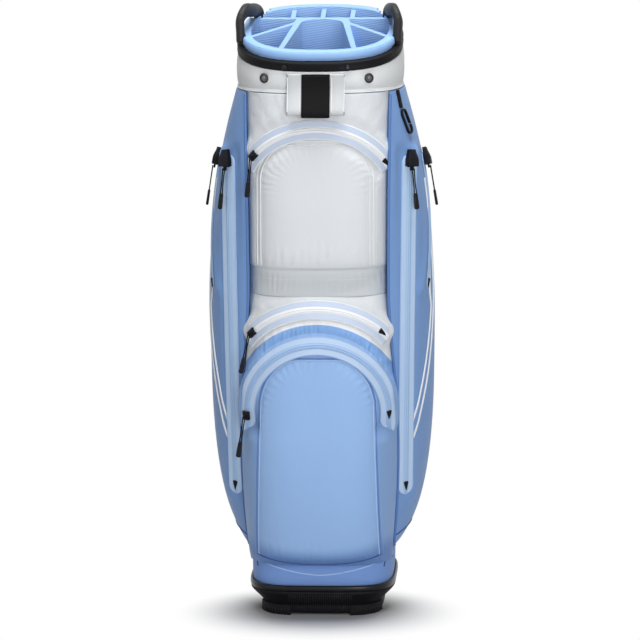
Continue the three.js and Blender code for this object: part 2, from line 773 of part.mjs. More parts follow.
function trackOutline(width) {
  const half = width / 2;
  const tooth = teethWidth / 2;
  const crest = tapeThickness + teethHeight;
  return [[-half, 0], [half, 0], [half, tapeThickness], [tooth, tapeThickness], [tooth * 0.7, crest],
    [-tooth * 0.7, crest], [-tooth, tapeThickness], [-half, tapeThickness]];
}

// What a zip adds to its pocket (a bed of cloth under the tape) and takes from it (the slider's way).
const zipBed = (zip, width) => (
  alongZip(zip, slab(width / 2 + zipBedMargin, -zipBedDepth, -gap), sliderLength));
const zipWay = (zip, width) => alongZip(zip, slab(width / 2 + gap, -gap, zipWayHeight), sliderLength + gap);

function pocketSolid({ planOf, foot, top, swell, block, innerBlock, zips }) {
  const heights = swell.map(([part]) => lerp(foot, top, part));
  const outside = stack(planOf, heights);
  const inside = stack(grown(planOf, -pocketCloth),
    [foot + pocketCloth, ...heights.slice(1, -1), top - pocketCloth]);
  const shell = outside.intersect(block).subtract(inside.intersect(innerBlock));
  const beds = zips.map(({ zip, width }) => zipBed(zip, width).intersect(block));
  const ways = zips.map(({ zip, width }) => zipWay(zip, width));
  const tube = stack(grown(tubePlan, gap), [tubeFoot, ...tubeLevels.slice(1), overTop]);
  return cut(join([shell, ...beds]), [tube, ...ways]);
}

// The seven zips

const onFront = (planOf, x, z) => vec(x, -depthAt(planOf(z), x), z);

function archZip({ planOf, topZ, rise, endX, lean }) {
  const endZ = topZ - rise;
  const start = onFront(planOf, -endX, endZ);
  const middle = onFront(planOf, 0, topZ);
  const end = onFront(planOf, endX, endZ);
  const normal = vec(0, -Math.cos(radians(lean)), Math.sin(radians(lean)));
  return zipArc(start, middle, end, normal);
}

const upperZip = archZip({ planOf: upperPlan, topZ: pocketTop - upperZipDrop,
  rise: upperZipRise, endX: upperZipReach, lean: upperZipLean });
const middleZip = archZip({ planOf: ballPlan, topZ: upperFoot - middleZipDrop,
  rise: middleZipRise, endX: middleZipReach, lean: ballZipLean });
const ballZip = archZip({ planOf: ballPlan, topZ: upperFoot - ballZipDrop,
  rise: ballZipRise, endX: ballZipReach, lean: ballZipLean });

function edgeZip() {
  const spot = (x, z) => onFront(apparelPlan, x, z);
  const height = pocketTop - edgeZipMiddle;
  const middle = spot(edgeZipMiddleX, height);
  const outward = planNormal(apparelPlan(height), middle.x, middle.y);
  return zipArc(spot(edgeZipTopX, pocketTop - edgeZipDrop), middle,
    spot(edgeZipFootX, apparelFoot + edgeZipLift), outward);
}

function outerZip() {
  const spot = (y, z) => vec(widthAt(apparelPlan(z), y), y, z);
  const height = pocketTop - outerZipMiddle;
  const middle = spot(outerZipMiddleY, height);
  const outward = planNormal(apparelPlan(height), middle.x, middle.y);
  return zipArc(spot(outerZipTopY, pocketTop - outerZipDrop), middle,
    spot(outerZipFootY, pocketTop - outerZipFoot), outward);
}

const rightEdgeZip = edgeZip();
const rightOuterZip = outerZip();

const sliderTop = tapeThickness + gap + sliderHeight;

// The pull hooks on a bail on the slider: over its middle, or at its lower end where a garage hoods it.
function sliderGeometry(bailAt) {
  const half = sliderWidth / 2;
  const groove = teethWidth / 2 + gap;
  const floor = tapeThickness + gap;
  const crest = tapeThickness + teethHeight + gap;
  const bevel = sliderHeight * 0.3;
  const outline = [[-half, floor], [-groove, floor], [-groove, crest], [groove, crest], [groove, floor],
    [half, floor], [half, sliderTop - bevel], [half - bevel, sliderTop], [bevel - half, sliderTop],
    [-half, sliderTop - bevel]];
  const body = swept(outline.map(([x, y]) => [-x, y]).reverse(), 1, (x, y, t) => (
    vec(-x, lerp(-sliderLength / 2, sliderLength / 2, t), y)));
  const bail = box(-bailWidth / 2, bailWidth / 2, bailAt - bailLength / 2, bailAt + bailLength / 2,
    sliderTop - bevel, sliderTop + bailHeight);
  return toGeometry(body.add(bail));
}

// A pull hangs plumb from its slider: two strands of cord to a moulded grip, in the plane facing `front`.
function pullSolid(hook, front, lean) {
  const up = vec(0, 0, 1).applyAxisAngle(vec(-front.y, front.x, 0), -lean);
  const side = up.clone().cross(front).normalize();
  const frame = new THREE.Matrix4().makeBasis(side, up, side.clone().cross(up)).setPosition(hook);
  const strands = [-1, 1].map((sign) => {
    const strand = new THREE.CylinderGeometry(cordRadius, cordRadius, cordLength, 6);
    return toSolid(strand.translate(sign * cordSpacing / 2, -cordLength / 2, 0));
  });
  const loop = new THREE.CylinderGeometry(cordRadius, cordRadius, cordSpacing + 2 * cordRadius, 6);
  const crown = toSolid(loop.rotateZ(Math.PI / 2).translate(0, -cordRadius, 0));
  const shape = new THREE.Shape();
  const half = gripWidth / 2 - 1;
  const corner = half * 0.8;
  shape.moveTo(-half + corner, 0);
  shape.lineTo(half - corner, 0);
  shape.quadraticCurveTo(half, 0, half, -corner);
  shape.lineTo(half, corner - gripLength);
  shape.quadraticCurveTo(half, -gripLength, half - corner, -gripLength);
  shape.lineTo(corner - half, -gripLength);
  shape.quadraticCurveTo(-half, -gripLength, -half, corner - gripLength);
  shape.lineTo(-half, -corner);
  shape.quadraticCurveTo(-half, 0, corner - half, 0);
  const grip = new THREE.ExtrudeGeometry(shape, {
    depth: gripThickness - 2, curveSegments: 2, bevelThickness: 1, bevelSize: 1, bevelSegments: 1 });
  const handle = toSolid(grip.translate(0, -cordLength + 2, 1 - gripThickness / 2));
  return toSolid(toGeometry(join([...strands, crown, handle])).applyMatrix4(frame));
}

const zipHook = (zip, bailAt) => (
  vec(0, bailAt, sliderTop + bailHeight + gap + cordRadius).applyMatrix4(zipFrame(zip, zip.from)));

const level = (v) => vec(v.x, v.y, 0).normalize();

function zipParts({ name, zip, width, pullLean, bailAt = 0, within }) {
  const slider = sliderGeometry(bailAt).applyMatrix4(zipFrame(zip, zip.from));
  const front = level(vec(0, 0, 1).transformDirection(zipFrame(zip, zip.from)));
  const pull = pullSolid(zipHook(zip, bailAt), front, radians(pullLean));
  const track = alongZip(zip, trackOutline(width), sliderLength);
  return {
    [`${name}_track`]: [toGeometry(within ? track.intersect(within) : track), paleTape],
    [`${name}_slider`]: [slider, blackPlastic],
    [`${name}_pull`]: [toGeometry(pull), blackPlastic],
  };
}

function addParts(parts, rename = (name) => name, change = (geometry) => geometry) {
  for (const [name, [geometry, colour]] of Object.entries(parts)) {
    addPart(rename(name), change(geometry), colour);
  }
}

// A garage hoods the slider at the top of a side zip and is open downwards.
function garageSolid(zip) {
  const frame = zipFrame(zip, zip.from);
  const half = garageWidth / 2;
  const low = tapeThickness + gap;
  const high = low + garageHeight;
  const mouth = sliderLength / 2 - 1;
  const taper = (t) => lerp(0.62, 1, ease(Math.min(1, t * 1.5)));
  const outside = swept(slab(half, 0, 1), 5, (x, y, t) => (
    vec(-x * taper(t), lerp(mouth - garageLength, mouth, t), lerp(low, low + (high - low) * taper(t), y))));
  const inner = sliderWidth / 2 + 2 * gap;
  const inside = box(-inner, inner, -sliderLength / 2 - 1, mouth + 5, low - 1, high - garageWall);
  const teeth = teethWidth / 2 + gap;
  const groove = box(-teeth, teeth, -garageLength, mouth + 5, low - 1, low + teethHeight);
  return toSolid(toGeometry(cut(outside, [inside, groove])).applyMatrix4(frame));
}

function addZips() {
  const within = frontBlock(gap);
  const arches = [['upper_zip', upperZip, 11], ['middle_zip', middleZip, 19], ['ball_zip', ballZip, 16]];
  for (const [name, zip, pullLean] of arches) {
    addParts(zipParts({ name, zip, width: tapeWidth, pullLean, within }));
  }
  const bailAt = sliderLength / 2 + bailLength / 2 - 1;
  const sides = [['edge_zip', rightEdgeZip, tapeWidth, 9], ['outer_zip', rightOuterZip, sideTapeWidth, 9]];
  for (const [name, zip, width, pullLean] of sides) {
    const parts = {
      ...zipParts({ name, zip, width, pullLean, bailAt }),
      [`${name}_garage`]: [toGeometry(garageSolid(zip)), blackPlastic],
    };
    addParts(parts, (part) => `${part}_right`);
    addParts(parts, (part) => `${part}_left`, mirrored);
  }
}

function addPockets() {
  const front = frontBlock(0);
  const frontInner = frontBlock(pocketCloth);
  const upper = pocketSolid({
    planOf: upperPlan, foot: upperFoot, top: pocketTop, swell: upperSwell, block: front,
    innerBlock: frontInner, zips: [{ zip: upperZip, width: tapeWidth }] });
  addPart('upper_pocket', toGeometry(upper), whiteCloth);
  const ball = pocketSolid({
    planOf: ballPlan, foot: ballFoot, top: upperFoot - gap, swell: ballSwell, block: front,
    innerBlock: frontInner,
    zips: [{ zip: middleZip, width: tapeWidth }, { zip: ballZip, width: tapeWidth }] });
  addPart('ball_pocket', toGeometry(ball), blueCloth);
  const side = toGeometry(pocketSolid({
    planOf: apparelPlan, foot: apparelFoot, top: pocketTop, swell: apparelSwell, block: sideBlock(0),
    innerBlock: sideBlock(pocketCloth),
    zips: [{ zip: rightEdgeZip, width: tapeWidth }, { zip: rightOuterZip, width: sideTapeWidth }] }));
  addPart('apparel_pocket_right', side, blueCloth);
  addPart('apparel_pocket_left', mirrored(side), blueCloth);
}

// Accessory tether under the cuff, with a snap clip and its sprung gate

function tetherFrame(z, x) {
  const plan = apparelPlan(z);
  const spot = vec(x, -depthAt(plan, x), z);
  const outward = planNormal(plan, spot.x, spot.y);
  return { spot, outward };
}

function addAccessory() {
  const top = pocketTop - gap;
  const foot = top - tetherLength;
  const outline = slab(tetherWidth / 2, 0, webThickness);
  const tether = swept(outline.map(([x, y]) => [-x, y]), 4, (x, y, t) => {
    const { spot, outward } = tetherFrame(lerp(top, foot, t), lerp(tetherX, tetherX + tetherDrift, t));
    const side = vec(-outward.y, outward.x, 0);
    return spot.addScaledVector(side, x).addScaledVector(outward, y + gap);
  });
  addPart('accessory_tether', toGeometry(tether), blackWebbing);
  const hang = foot - gap - clipLength / 2;
  const { spot, outward } = tetherFrame(hang, tetherX + tetherDrift + clipDrift);
  const high = tetherFrame(foot, tetherX + tetherDrift).spot;
  const up = high.sub(spot).normalize();
  const side = up.clone().cross(outward).normalize();
  const frame = new THREE.Matrix4().makeBasis(side, up, side.clone().cross(up)).setPosition(spot);
  const off = gap + clipThickness / 2;
  const loop = clipShape(clipWidth / 2, clipLength / 2);
  loop.holes.push(clipShape(clipWidth / 2 - clipBar, clipLength / 2 - clipBar));
  const settings = { depth: clipThickness, bevelEnabled: false, curveSegments: 4 };
  const ring = toSolid(new THREE.ExtrudeGeometry(loop, settings).translate(0, 0, off - clipThickness / 2));
  const gateX = clipWidth / 2 - clipBar;
  const opening = box(gateX - 1, clipWidth, -clipGate / 2, clipGate / 2,
    off - clipThickness, off + clipThickness);
  const gate = box(gateX, gateX + clipBar, -clipGate / 2 + 4 * gap, clipGate / 2 - gap,
    off - clipThickness / 2, off + clipThickness / 2);
  const put = (solid) => toGeometry(solid).applyMatrix4(frame);
  addPart('accessory_clip', put(ring.subtract(opening)), blackPlastic);
  addPart('clip_gate', put(gate), blackPlastic);
}

function clipShape(half, tall) {
  const shape = new THREE.Shape();
  shape.absarc(0, tall - half, half, 0, Math.PI, false);
  shape.absarc(0, half - tall, half, Math.PI, 2 * Math.PI, false);
  shape.closePath();
  return shape;
}

// Shoulder strap: webbing from an upper to a lower anchor on the back, over a pad

function anchorSolid(height, backY) {
  const half = strapWebWidth / 2 + gap + 1;
  const ear = anchorThickness;
  const face = backY + gap;
  const barY = face + anchorThickness + anchorBarStand;
  const plate = box(-half - ear, half + ear, face, face + anchorThickness,
    height - anchorHeight / 2, height + anchorHeight / 2);
  const ears = [-1, 1].map((sign) => {
    const [x0, x1] = sign > 0 ? [half, half + ear] : [-half - ear, -half];
    return box(x0, x1, face + 0.5, barY + anchorBarRadius,
      height - anchorHeight / 4, height + anchorHeight / 4);
  });
  const bar = new THREE.CylinderGeometry(anchorBarRadius, anchorBarRadius, 2 * half + ear, 12);
  return join([plate, ...ears, toSolid(bar.rotateZ(Math.PI / 2).translate(0, barY, height))]);
}

function addShoulderStrap() {
  const upperBack = topPlan(cuffThickness).depth;
  const anchorTop = cuffHem + anchorHeight;
  const anchorFoot = strapFoot - anchorHeight * 1.6;
  const lowerBack = Math.max(...[-1, 1].map((end) => tubePlan(anchorFoot + (end * anchorHeight) / 2).depth));
  addPart('strap_anchor_upper', toGeometry(anchorSolid(anchorTop, upperBack)), blackPlastic);
  addPart('strap_anchor_lower', toGeometry(anchorSolid(anchorFoot, lowerBack)), blackPlastic);
  const barY = (backY) => backY + gap + anchorThickness + anchorBarStand;
  const turn = anchorBarRadius + gap + webThickness / 2;
  const wrap = (height, backY, sign) => [0, 0.25, 0.5, 0.75, 1].map((part) => {
    const angle = part * Math.PI;
    return vec(0, barY(backY) + turn * Math.cos(angle), height + sign * turn * Math.sin(angle));
  });
  const stand = barY(lowerBack) + turn;
  const curve = (t) => stand + strapBow * Math.sin(Math.PI * t);
  const middle = Array.from({ length: 11 }, (unused, i) => (
    vec(0, curve(i / 10), lerp(strapTop, strapFoot, i / 10))));
  const upperWrap = wrap(anchorTop, upperBack, 1).reverse();
  const lowerWrap = wrap(anchorFoot, lowerBack, -1);
  const tailTop = upperWrap[0].clone().add(vec(0, 0, -6));
  const tailFoot = lowerWrap[lowerWrap.length - 1].clone().add(vec(0, 0, 6));
  const path = [tailTop, ...upperWrap, ...middle, ...lowerWrap, tailFoot];
  addPart('strap_webbing', toGeometry(ribbon(path, strapWebWidth, webThickness)), blackWebbing);
  const padShift = webThickness / 2 + gap + strapPadThickness / 2;
  const padPath = middle.slice(1, -1).map((point) => point.clone().add(vec(0, -padShift, 0)));
  addPart('strap_pad', toGeometry(ribbon(padPath, strapPadWidth, strapPadThickness - 1)), deepBlueCloth);
}

addBase();
addFeet();
addTubeAndStays();
addDivider();
addDividerPanels();
addHandles();
addCollar();
addCuff();
addSnapsAndStuds();
addLiftHandle();
addPockets();
addZips();
addAccessory();
addShoulderStrap();

const middle = new THREE.Box3().setFromObject(bag).getCenter(new THREE.Vector3());
bag.position.set(-middle.x, -middle.y, 0);

export default bag;
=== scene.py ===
import math
from contextlib import contextmanager
import bmesh
import bpy
from mathutils import Matrix, Vector
from mathutils.bvhtree import BVHTree


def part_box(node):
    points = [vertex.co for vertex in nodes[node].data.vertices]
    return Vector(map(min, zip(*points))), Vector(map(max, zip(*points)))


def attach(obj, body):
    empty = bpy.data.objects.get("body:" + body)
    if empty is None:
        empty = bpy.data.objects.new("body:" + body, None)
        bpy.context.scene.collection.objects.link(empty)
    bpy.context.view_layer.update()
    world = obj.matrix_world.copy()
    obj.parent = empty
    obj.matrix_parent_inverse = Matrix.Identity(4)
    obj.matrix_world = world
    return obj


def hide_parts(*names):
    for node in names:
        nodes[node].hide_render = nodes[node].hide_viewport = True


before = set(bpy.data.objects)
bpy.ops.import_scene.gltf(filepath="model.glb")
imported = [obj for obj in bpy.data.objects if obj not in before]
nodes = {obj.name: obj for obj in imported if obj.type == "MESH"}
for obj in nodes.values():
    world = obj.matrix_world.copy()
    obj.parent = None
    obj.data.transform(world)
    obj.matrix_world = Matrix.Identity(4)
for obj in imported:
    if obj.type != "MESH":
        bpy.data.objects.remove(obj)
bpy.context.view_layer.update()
scene = bpy.context.scene

# The tables below are in millimetres about the middle of the bag's tube, pockets towards -y.
tubLow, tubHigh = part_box("base_tub")
middleY = (tubLow.y + tubHigh.y) * 500


def metres(point):
    return Vector((point[0] / 1000, (point[1] + middleY) / 1000, point[2] / 1000))


def millimetres(point):
    return Vector((point[0] * 1000, point[1] * 1000 - middleY, point[2] * 1000))


def linked(name, data):
    thing = bpy.data.objects.new(name, data)
    scene.collection.objects.link(thing)
    return thing


@contextmanager
def edited(mesh, fresh=False):
    shape = bmesh.new()
    if not fresh:
        shape.from_mesh(mesh)
    yield shape
    shape.to_mesh(mesh)
    shape.free()


# Shader maths: a wire is one socket, and an expression on wires adds its nodes.
class Wire:
    def __init__(self, tree, socket):
        self.tree = tree
        self.socket = socket

    def join(self, operation, *others):
        return self.tree.maths(operation, self, *others)

    def __add__(self, other):
        return self.join("ADD", other)

    def __sub__(self, other):
        return self.join("SUBTRACT", other)

    def __rsub__(self, other):
        return self.tree.maths("SUBTRACT", other, self)

    def __mul__(self, other):
        return self.join("MULTIPLY", other)

    def __truediv__(self, other):
        return self.join("DIVIDE", other)

    __radd__ = __add__
    __rmul__ = __mul__

    def above(self, edge, soft):
        return self.tree.ramp(self, edge - soft, edge + soft)

    def wave(self, pitch):
        return (self * (math.tau / pitch)).join("SINE")


# A node of any tree: its kind, its settings, then the values or wires of its sockets by name or number.
def addNode(tree, kind, settings=(), sockets=()):
    made = tree.nodes.new(kind)
    for name, value in dict(settings).items():
        setattr(made, name, value)
    for name, value in dict(sockets).items():
        value = value.socket if isinstance(value, Wire) else value
        if isinstance(value, bpy.types.NodeSocket):
            tree.links.new(value, made.inputs[name])
        elif value is not None:
            made.inputs[name].default_value = value
    return made


class ShaderTree:
    def __init__(self, tree):
        self.tree = tree

    def node(self, kind, settings=(), sockets=(), output=0):
        return Wire(self, addNode(self.tree, kind, settings, sockets).outputs[output])

    def link(self, wire, node, socket):
        self.tree.links.new(wire.socket, self.tree.nodes[node].inputs[socket])

    def maths(self, operation, *values):
        return self.node("ShaderNodeMath", {"operation": operation}, dict(enumerate(values)))

    def ramp(self, value, low, high):
        return self.node("ShaderNodeMapRange", {"interpolation_type": "SMOOTHSTEP"},
                         {"Value": value, "From Min": low, "From Max": high}, "Result")

    def place(self, kind="Object"):
        return self.node("ShaderNodeTexCoord", output=kind)

    def parts(self, vector):
        made = addNode(self.tree, "ShaderNodeSeparateXYZ", (), {0: vector})
        return [Wire(self, made.outputs[i]) for i in range(3)]

    def turned(self, vector, scale):
        return self.node("ShaderNodeMapping", (), {"Vector": vector, "Scale": scale}, "Vector")

    def noise(self, vector, scale, detail):
        return self.node("ShaderNodeTexNoise", {"noise_dimensions": "3D"},
                         {"Vector": vector, "Scale": scale, "Detail": detail, "Roughness": 0.55}, "Fac")

    def blend(self, factor, first, second):
        first, second = (value if isinstance(value, Wire) else (*value, 1) for value in (first, second))
        return self.node("ShaderNodeMix", {"data_type": "RGBA"}, {"Factor": factor, 6: first, 7: second}, 2)

    # 1 for what the camera sees straight, through glass or in a gloss, and 0 for bounced light
    def seen(self):
        rays = [self.node("ShaderNodeLightPath", output=f"Is {kind} Ray")
                for kind in ("Camera", "Glossy", "Transmission")]
        return rays[0].join("MAXIMUM", rays[1]).join("MAXIMUM", rays[2])


class Finish(ShaderTree):
    def __init__(self, name, colour, roughness, **constants):
        self.material = bpy.data.materials.new(name)
        self.material.use_nodes = True
        super().__init__(self.material.node_tree)
        self.shader = self.tree.nodes["Principled BSDF"]
        self.colour = linear(colour)
        self.shader.inputs["Base Color"].default_value = (*self.colour, 1)
        self.shader.inputs["Roughness"].default_value = roughness
        for socket, value in constants.items():
            self.shader.inputs[socket.replace("_", " ")].default_value = value
        self.material.diffuse_color = (*self.colour, 1)

    def feed(self, socket, wire):
        self.tree.links.new(wire.socket, self.shader.inputs[socket])

    # A colour times a number that varies
    def tint(self, colour, amount):
        self.feed("Base Color", self.node("ShaderNodeVectorMath", {"operation": "SCALE"},
                                          {0: colour, "Scale": amount}))

    def bump(self, height):
        values = {"Height": height, "Distance": 1.0, "Strength": 1.0}
        self.feed("Normal", self.node("ShaderNodeBump", (), values, "Normal"))
        return self.material


def linear(colour):
    return tuple(c / 12.92 if c <= 0.04045 else ((c + 0.055) / 1.055) ** 2.4
                 for c in (value / 255 for value in colour))


clothLook = {"weave": 0.0011, "weaveDepth": 0.00005, "creaseScale": 26, "creaseDepth": 0.0007,
             "creaseStretch": 0.55}


# Coated polyester: a fine weave by the piece's own UV, slow creases and a slight cloudiness in colour.
def coatedCloth(name, colour, roughness=0.5, cloud=0.045, crease=1.0, zones=None, pleats=None):
    finish = Finish(name, colour, roughness, Specular_IOR_Level=0.16, Sheen_Weight=0.03, Sheen_Roughness=0.5)
    place = finish.place()
    across, along, _ = finish.parts(finish.place("UV"))
    slow = finish.noise(place, 7, 2)
    fine = finish.noise(place, 420, 2)
    weave = across.wave(clothLook["weave"]) * along.wave(clothLook["weave"])
    stretched = finish.turned(place, (1, 1, clothLook["creaseStretch"]))
    folds = finish.noise(stretched, clothLook["creaseScale"], 3)
    base = zones(finish) if zones else finish.colour
    tone = slow * cloud + fine * 0.03 + weave * 0.012
    finish.tint(base, 1 - cloud / 2 - 0.015 + tone)
    finish.feed("Roughness", roughness - 0.05 + slow * 0.1)
    height = weave * clothLook["weaveDepth"] + folds * (clothLook["creaseDepth"] * crease)
    return finish.bump(height + pleats(finish) if pleats else height)


tapeLook = {"rib": 0.0016, "ribDepth": 0.00006, "stripeDepth": 0.00015, "edge": 0.0003}


# Zip tape: a raised stripe along each half of the tape, and fine ribs across it.
def stripedTape(name, colour, stripe, inner=0.0047, outer=0.0125):
    finish = Finish(name, colour, 0.45, Specular_IOR_Level=0.3)
    across, along, _ = finish.parts(finish.place("UV"))
    away = across.join("ABSOLUTE")
    inside = away.above(inner, tapeLook["edge"]) * (1 - away.above(outer, tapeLook["edge"]))
    cloud = finish.noise(finish.place(), 60, 2)
    finish.tint(finish.blend(inside, finish.colour, linear(stripe)), 0.97 + cloud * 0.06)
    finish.feed("Roughness", 0.4 + cloud * 0.12)
    return finish.bump(along.wave(tapeLook["rib"]) * tapeLook["ribDepth"] + inside * tapeLook["stripeDepth"])


webbingLook = {"rib": 0.0024, "thread": 0.0016, "depth": 0.00022, "dark": (12, 11, 12), "light": (30, 29, 31)}


def blackWebbing(name):
    finish = Finish(name, (16, 15, 16), 0.75, Specular_IOR_Level=0.1)
    across, along, _ = finish.parts(finish.place("UV"))
    ribs = along.wave(webbingLook["rib"])
    weave = ribs * 0.6 + ribs * across.wave(webbingLook["thread"]) * 0.4
    lint = finish.noise(finish.place(), 260, 3)
    finish.feed("Base Color", finish.blend(weave * 0.25 + lint * 0.5, linear(webbingLook["dark"]),
                                           linear(webbingLook["light"])))
    finish.feed("Roughness", 0.68 + lint * 0.16)
    return finish.bump(weave * webbingLook["depth"])


# Moulded plastic: a grain, a faint cloud in the gloss, and paler rubbed places. ribs is
# (x, y, z, pitch, depth).
def mouldedPlastic(name, colour, roughness, grain=0.00006, scale=900, rub=0.05, ribs=None, specular=0.25):
    finish = Finish(name, colour, roughness, Specular_IOR_Level=specular)
    place = finish.place()
    cloud = finish.noise(place, 22, 4)
    worn = finish.noise(place, 55, 5).above(0.66, 0.08)
    pale = tuple(c + (1 - c) * 0.12 for c in finish.colour)
    finish.tint(finish.blend(worn * rub * 4, finish.colour, pale), 0.94 + cloud * 0.12)
    finish.feed("Roughness", roughness - 0.06 + cloud * 0.12 + worn * rub)
    height = finish.noise(place, scale, 2) * grain
    if ribs:
        shares, (pitch, depth) = ribs[:3], ribs[3:]
        x, y, z = (part * share for part, share in zip(finish.parts(place), shares))
        height = height + (x + y + z).wave(pitch) * depth
    return finish.bump(height)


def brushedMetal(name, colour, roughness):
    finish = Finish(name, colour, roughness, Metallic=1.0)
    streak = finish.noise(finish.turned(finish.place(), (1, 1, 12)), 500, 2)
    finish.feed("Roughness", roughness - 0.06 + streak * 0.14)
    return finish.bump(streak * 0.00003)


colours = {
    "ballBlue": (147, 181, 227), "bandBlue": (124, 163, 216), "gussetBlue": (131, 164, 210),
    "sideBlue": (119, 154, 205), "skirtBlue": (120, 154, 213), "paintedShadeBlue": (96, 132, 190),
    "white": (219, 223, 227), "foldWhite": (208, 213, 217), "tapeWhite": (236, 239, 243),
    "tapeBlue": (160, 190, 226), "tapeLight": (182, 206, 236), "ballTape": (153, 183, 223),
    "tapePale": (182, 204, 232), "stripeBlue": (200, 213, 234), "rollBlue": (149, 188, 240),
    "dividerBlue": (146, 182, 230),
}

# The ball pocket's cloth, in metres: white over an arc, a deeper band under it, the panel and its gussets
# below, and painted shade along the foot: a darker blue, bowed to follow the pocket's lower seam, for the
# shadow where the panel curves under.
borderArc = {"centreZ": 0.320, "radius": 0.122, "whiteFrom": 0.375, "zipZ": 0.3124, "zipRadius": 0.1175,
             "bandFrom": 0.33, "panelHalf": 0.087}
footShade = {"bow": 0.0138, "bowWidth": 0.0083, "low": 0.098, "high": 0.13}


def reach(x, z):
    return (x * x + z * z).join("SQRT")


def ballZones(finish):
    x, _, z = finish.parts(finish.place())
    white = reach(x, z - borderArc["centreZ"]).above(borderArc["radius"], 0.0004)
    white = white * z.above(borderArc["whiteFrom"], 0.002)
    band = reach(x, z - borderArc["zipZ"]).above(borderArc["zipRadius"], 0.0006)
    band = band * z.above(borderArc["bandFrom"], 0.04)
    side = x.join("ABSOLUTE").above(borderArc["panelHalf"], 0.0006)
    # Painted shade: the cloth turns a darker blue towards the foot seam, standing in for the shadow under the
    # panel's bulge.
    bowed = z + footShade["bow"] * (1 - x * x / footShade["bowWidth"])
    under = 1 - finish.ramp(bowed, footShade["low"], footShade["high"])
    blue = finish.blend(side, linear(colours["ballBlue"]), linear(colours["gussetBlue"]))
    blue = finish.blend(band, blue, linear(colours["bandBlue"]))
    blue = finish.blend(under, blue, linear(colours["paintedShadeBlue"]))
    return finish.blend(white, blue, linear(colours["white"]))


bandTop = 0.5205


def foldZones(finish):
    _, _, z = finish.parts(finish.place())
    return finish.blend(1 - z.above(bandTop, 0.0006), linear(colours["white"]), linear(colours["foldWhite"]))


# Pleats: small upright ones where cloth is gathered into a band, and rays under the crown of a panel. Each
# run is (pitch, depth), and In and Out are the heights over which it fades.
upperFolds = {"band": (0.0085, 0.0004), "bandIn": (0.481, 0.49), "bandOut": (0.505, 0.52),
              "above": (0.013, 0.0005), "aboveIn": (0.522, 0.53), "aboveOut": (0.535, 0.575),
              "rays": {"centreX": -0.0025, "centreZ": 0.63, "inner": 0.045, "outer": 0.078, "depth": 0.00022,
                       "count": 46}}
ballFolds = {"band": (0.0065, 0.0005), "bandIn": (0.36, 0.38), "bandReach": (0.108, 0.114),
             "bandOut": (0.1185, 0.1225), "foot": (0.012, 0.0005), "footOut": (0.1, 0.135),
             "rays": {"centreX": 0.0, "centreZ": 0.31, "inner": 0.06, "outer": 0.088, "depth": 0.00028,
                      "count": 44}}


def uprightPleats(finish, pitch, depth, *masks):
    x, _, _ = finish.parts(finish.place())
    wander = finish.noise(finish.place(), 24, 3)
    pleats = (x + wander * pitch * 1.4).wave(pitch) * finish.noise(finish.place(), 40, 2).above(0.5, 0.22)
    for mask in masks:
        pleats = pleats * mask
    return pleats * depth


def crownRays(finish, centreX, centreZ, inner, outer, depth, count):
    x, _, z = finish.parts(finish.place())
    across, up = x - centreX, z - centreZ
    turn = (across.join("ARCTAN2", up) + finish.noise(finish.place(), 30, 3) * 0.25) * count
    sine = turn.join("SINE") * finish.ramp(reach(across, up), inner, outer)
    return sine * finish.ramp(up, -0.03, 0.03) * depth


def upperPleats(finish):
    _, _, z = finish.parts(finish.place())
    band, above = (uprightPleats(finish, *upperFolds[run], finish.ramp(z, *upperFolds[f"{run}In"]),
                                 1 - finish.ramp(z, *upperFolds[f"{run}Out"])) for run in ("band", "above"))
    return band + above + crownRays(finish, **upperFolds["rays"])


def ballPleats(finish):
    x, _, z = finish.parts(finish.place())
    away = reach(x, z - borderArc["centreZ"])
    band = uprightPleats(finish, *ballFolds["band"], finish.ramp(z, *ballFolds["bandIn"]),
                         finish.ramp(away, *ballFolds["bandReach"]),
                         1 - finish.ramp(away, *ballFolds["bandOut"]))
    foot = uprightPleats(finish, *ballFolds["foot"], 1 - finish.ramp(z, *ballFolds["footOut"]))
    return band + foot + crownRays(finish, **ballFolds["rays"])


cloth = {
    "upper": coatedCloth("whiteCloth", colours["white"], 0.5, 0.03, 1.5, foldZones, upperPleats),
    "ball": coatedCloth("ballCloth", colours["ballBlue"], 0.45, 0.05, 1.5, ballZones, ballPleats),
    "side": coatedCloth("sideCloth", colours["sideBlue"], 0.5, 0.06, 1.8),
    "tube": coatedCloth("tubeCloth", colours["skirtBlue"], 0.55, 0.05, 0.6),
    "cuff": coatedCloth("cuffCloth", (221, 224, 226), 0.5, 0.03, 0.7),
    "pad": coatedCloth("padCloth", (197, 200, 202), 0.5, 0.03, 0.6),
    "strap": coatedCloth("strapCloth", colours["sideBlue"], 0.55, 0.05, 1.0),
    "panels": coatedCloth("panelCloth", (96, 134, 190), 0.7, 0.06, 1.0),
}
tapes = {
    "upper_zip": stripedTape("upperTape", colours["tapeWhite"], colours["stripeBlue"]),
    "middle_zip": stripedTape("middleTape", colours["tapeWhite"], colours["stripeBlue"]),
    "ball_zip": stripedTape("ballTape", colours["ballTape"], colours["tapePale"]),
    "edge_zip": stripedTape("edgeTape", colours["tapeBlue"], colours["tapeLight"]),
    "outer_zip": stripedTape("outerTape", colours["tapeBlue"], colours["tapeLight"], 0.0040, 0.0088),
}
webbingBlack = blackWebbing("blackWebbing")
glossBlack = mouldedPlastic("glossBlack", (9, 9, 13), 0.3, 0.00002, 600, 0.01, specular=0.22)
matteBlack = mouldedPlastic("matteBlack", (12, 12, 16), 0.55, 0.00008, 900, 0.02, specular=0.12)
gripBlack = mouldedPlastic("gripBlack", (33, 34, 36), 0.5, 0.0001, 700, 0.03, specular=0.2)
rubberBlack = mouldedPlastic("rubberBlack", (22, 22, 26), 0.7, 0.00012, 800, 0.03, specular=0.12)
pullBlack = mouldedPlastic("pullBlack", (13, 14, 20), 0.5, 0.00008, 900, 0.02, specular=0.15)
cordBlack = mouldedPlastic("cordBlack", (13, 14, 19), 0.8, 0.0001, 1500, 0.01,
                           (0.4, 0.4, 1, 0.0013, 0.0001), 0.1)
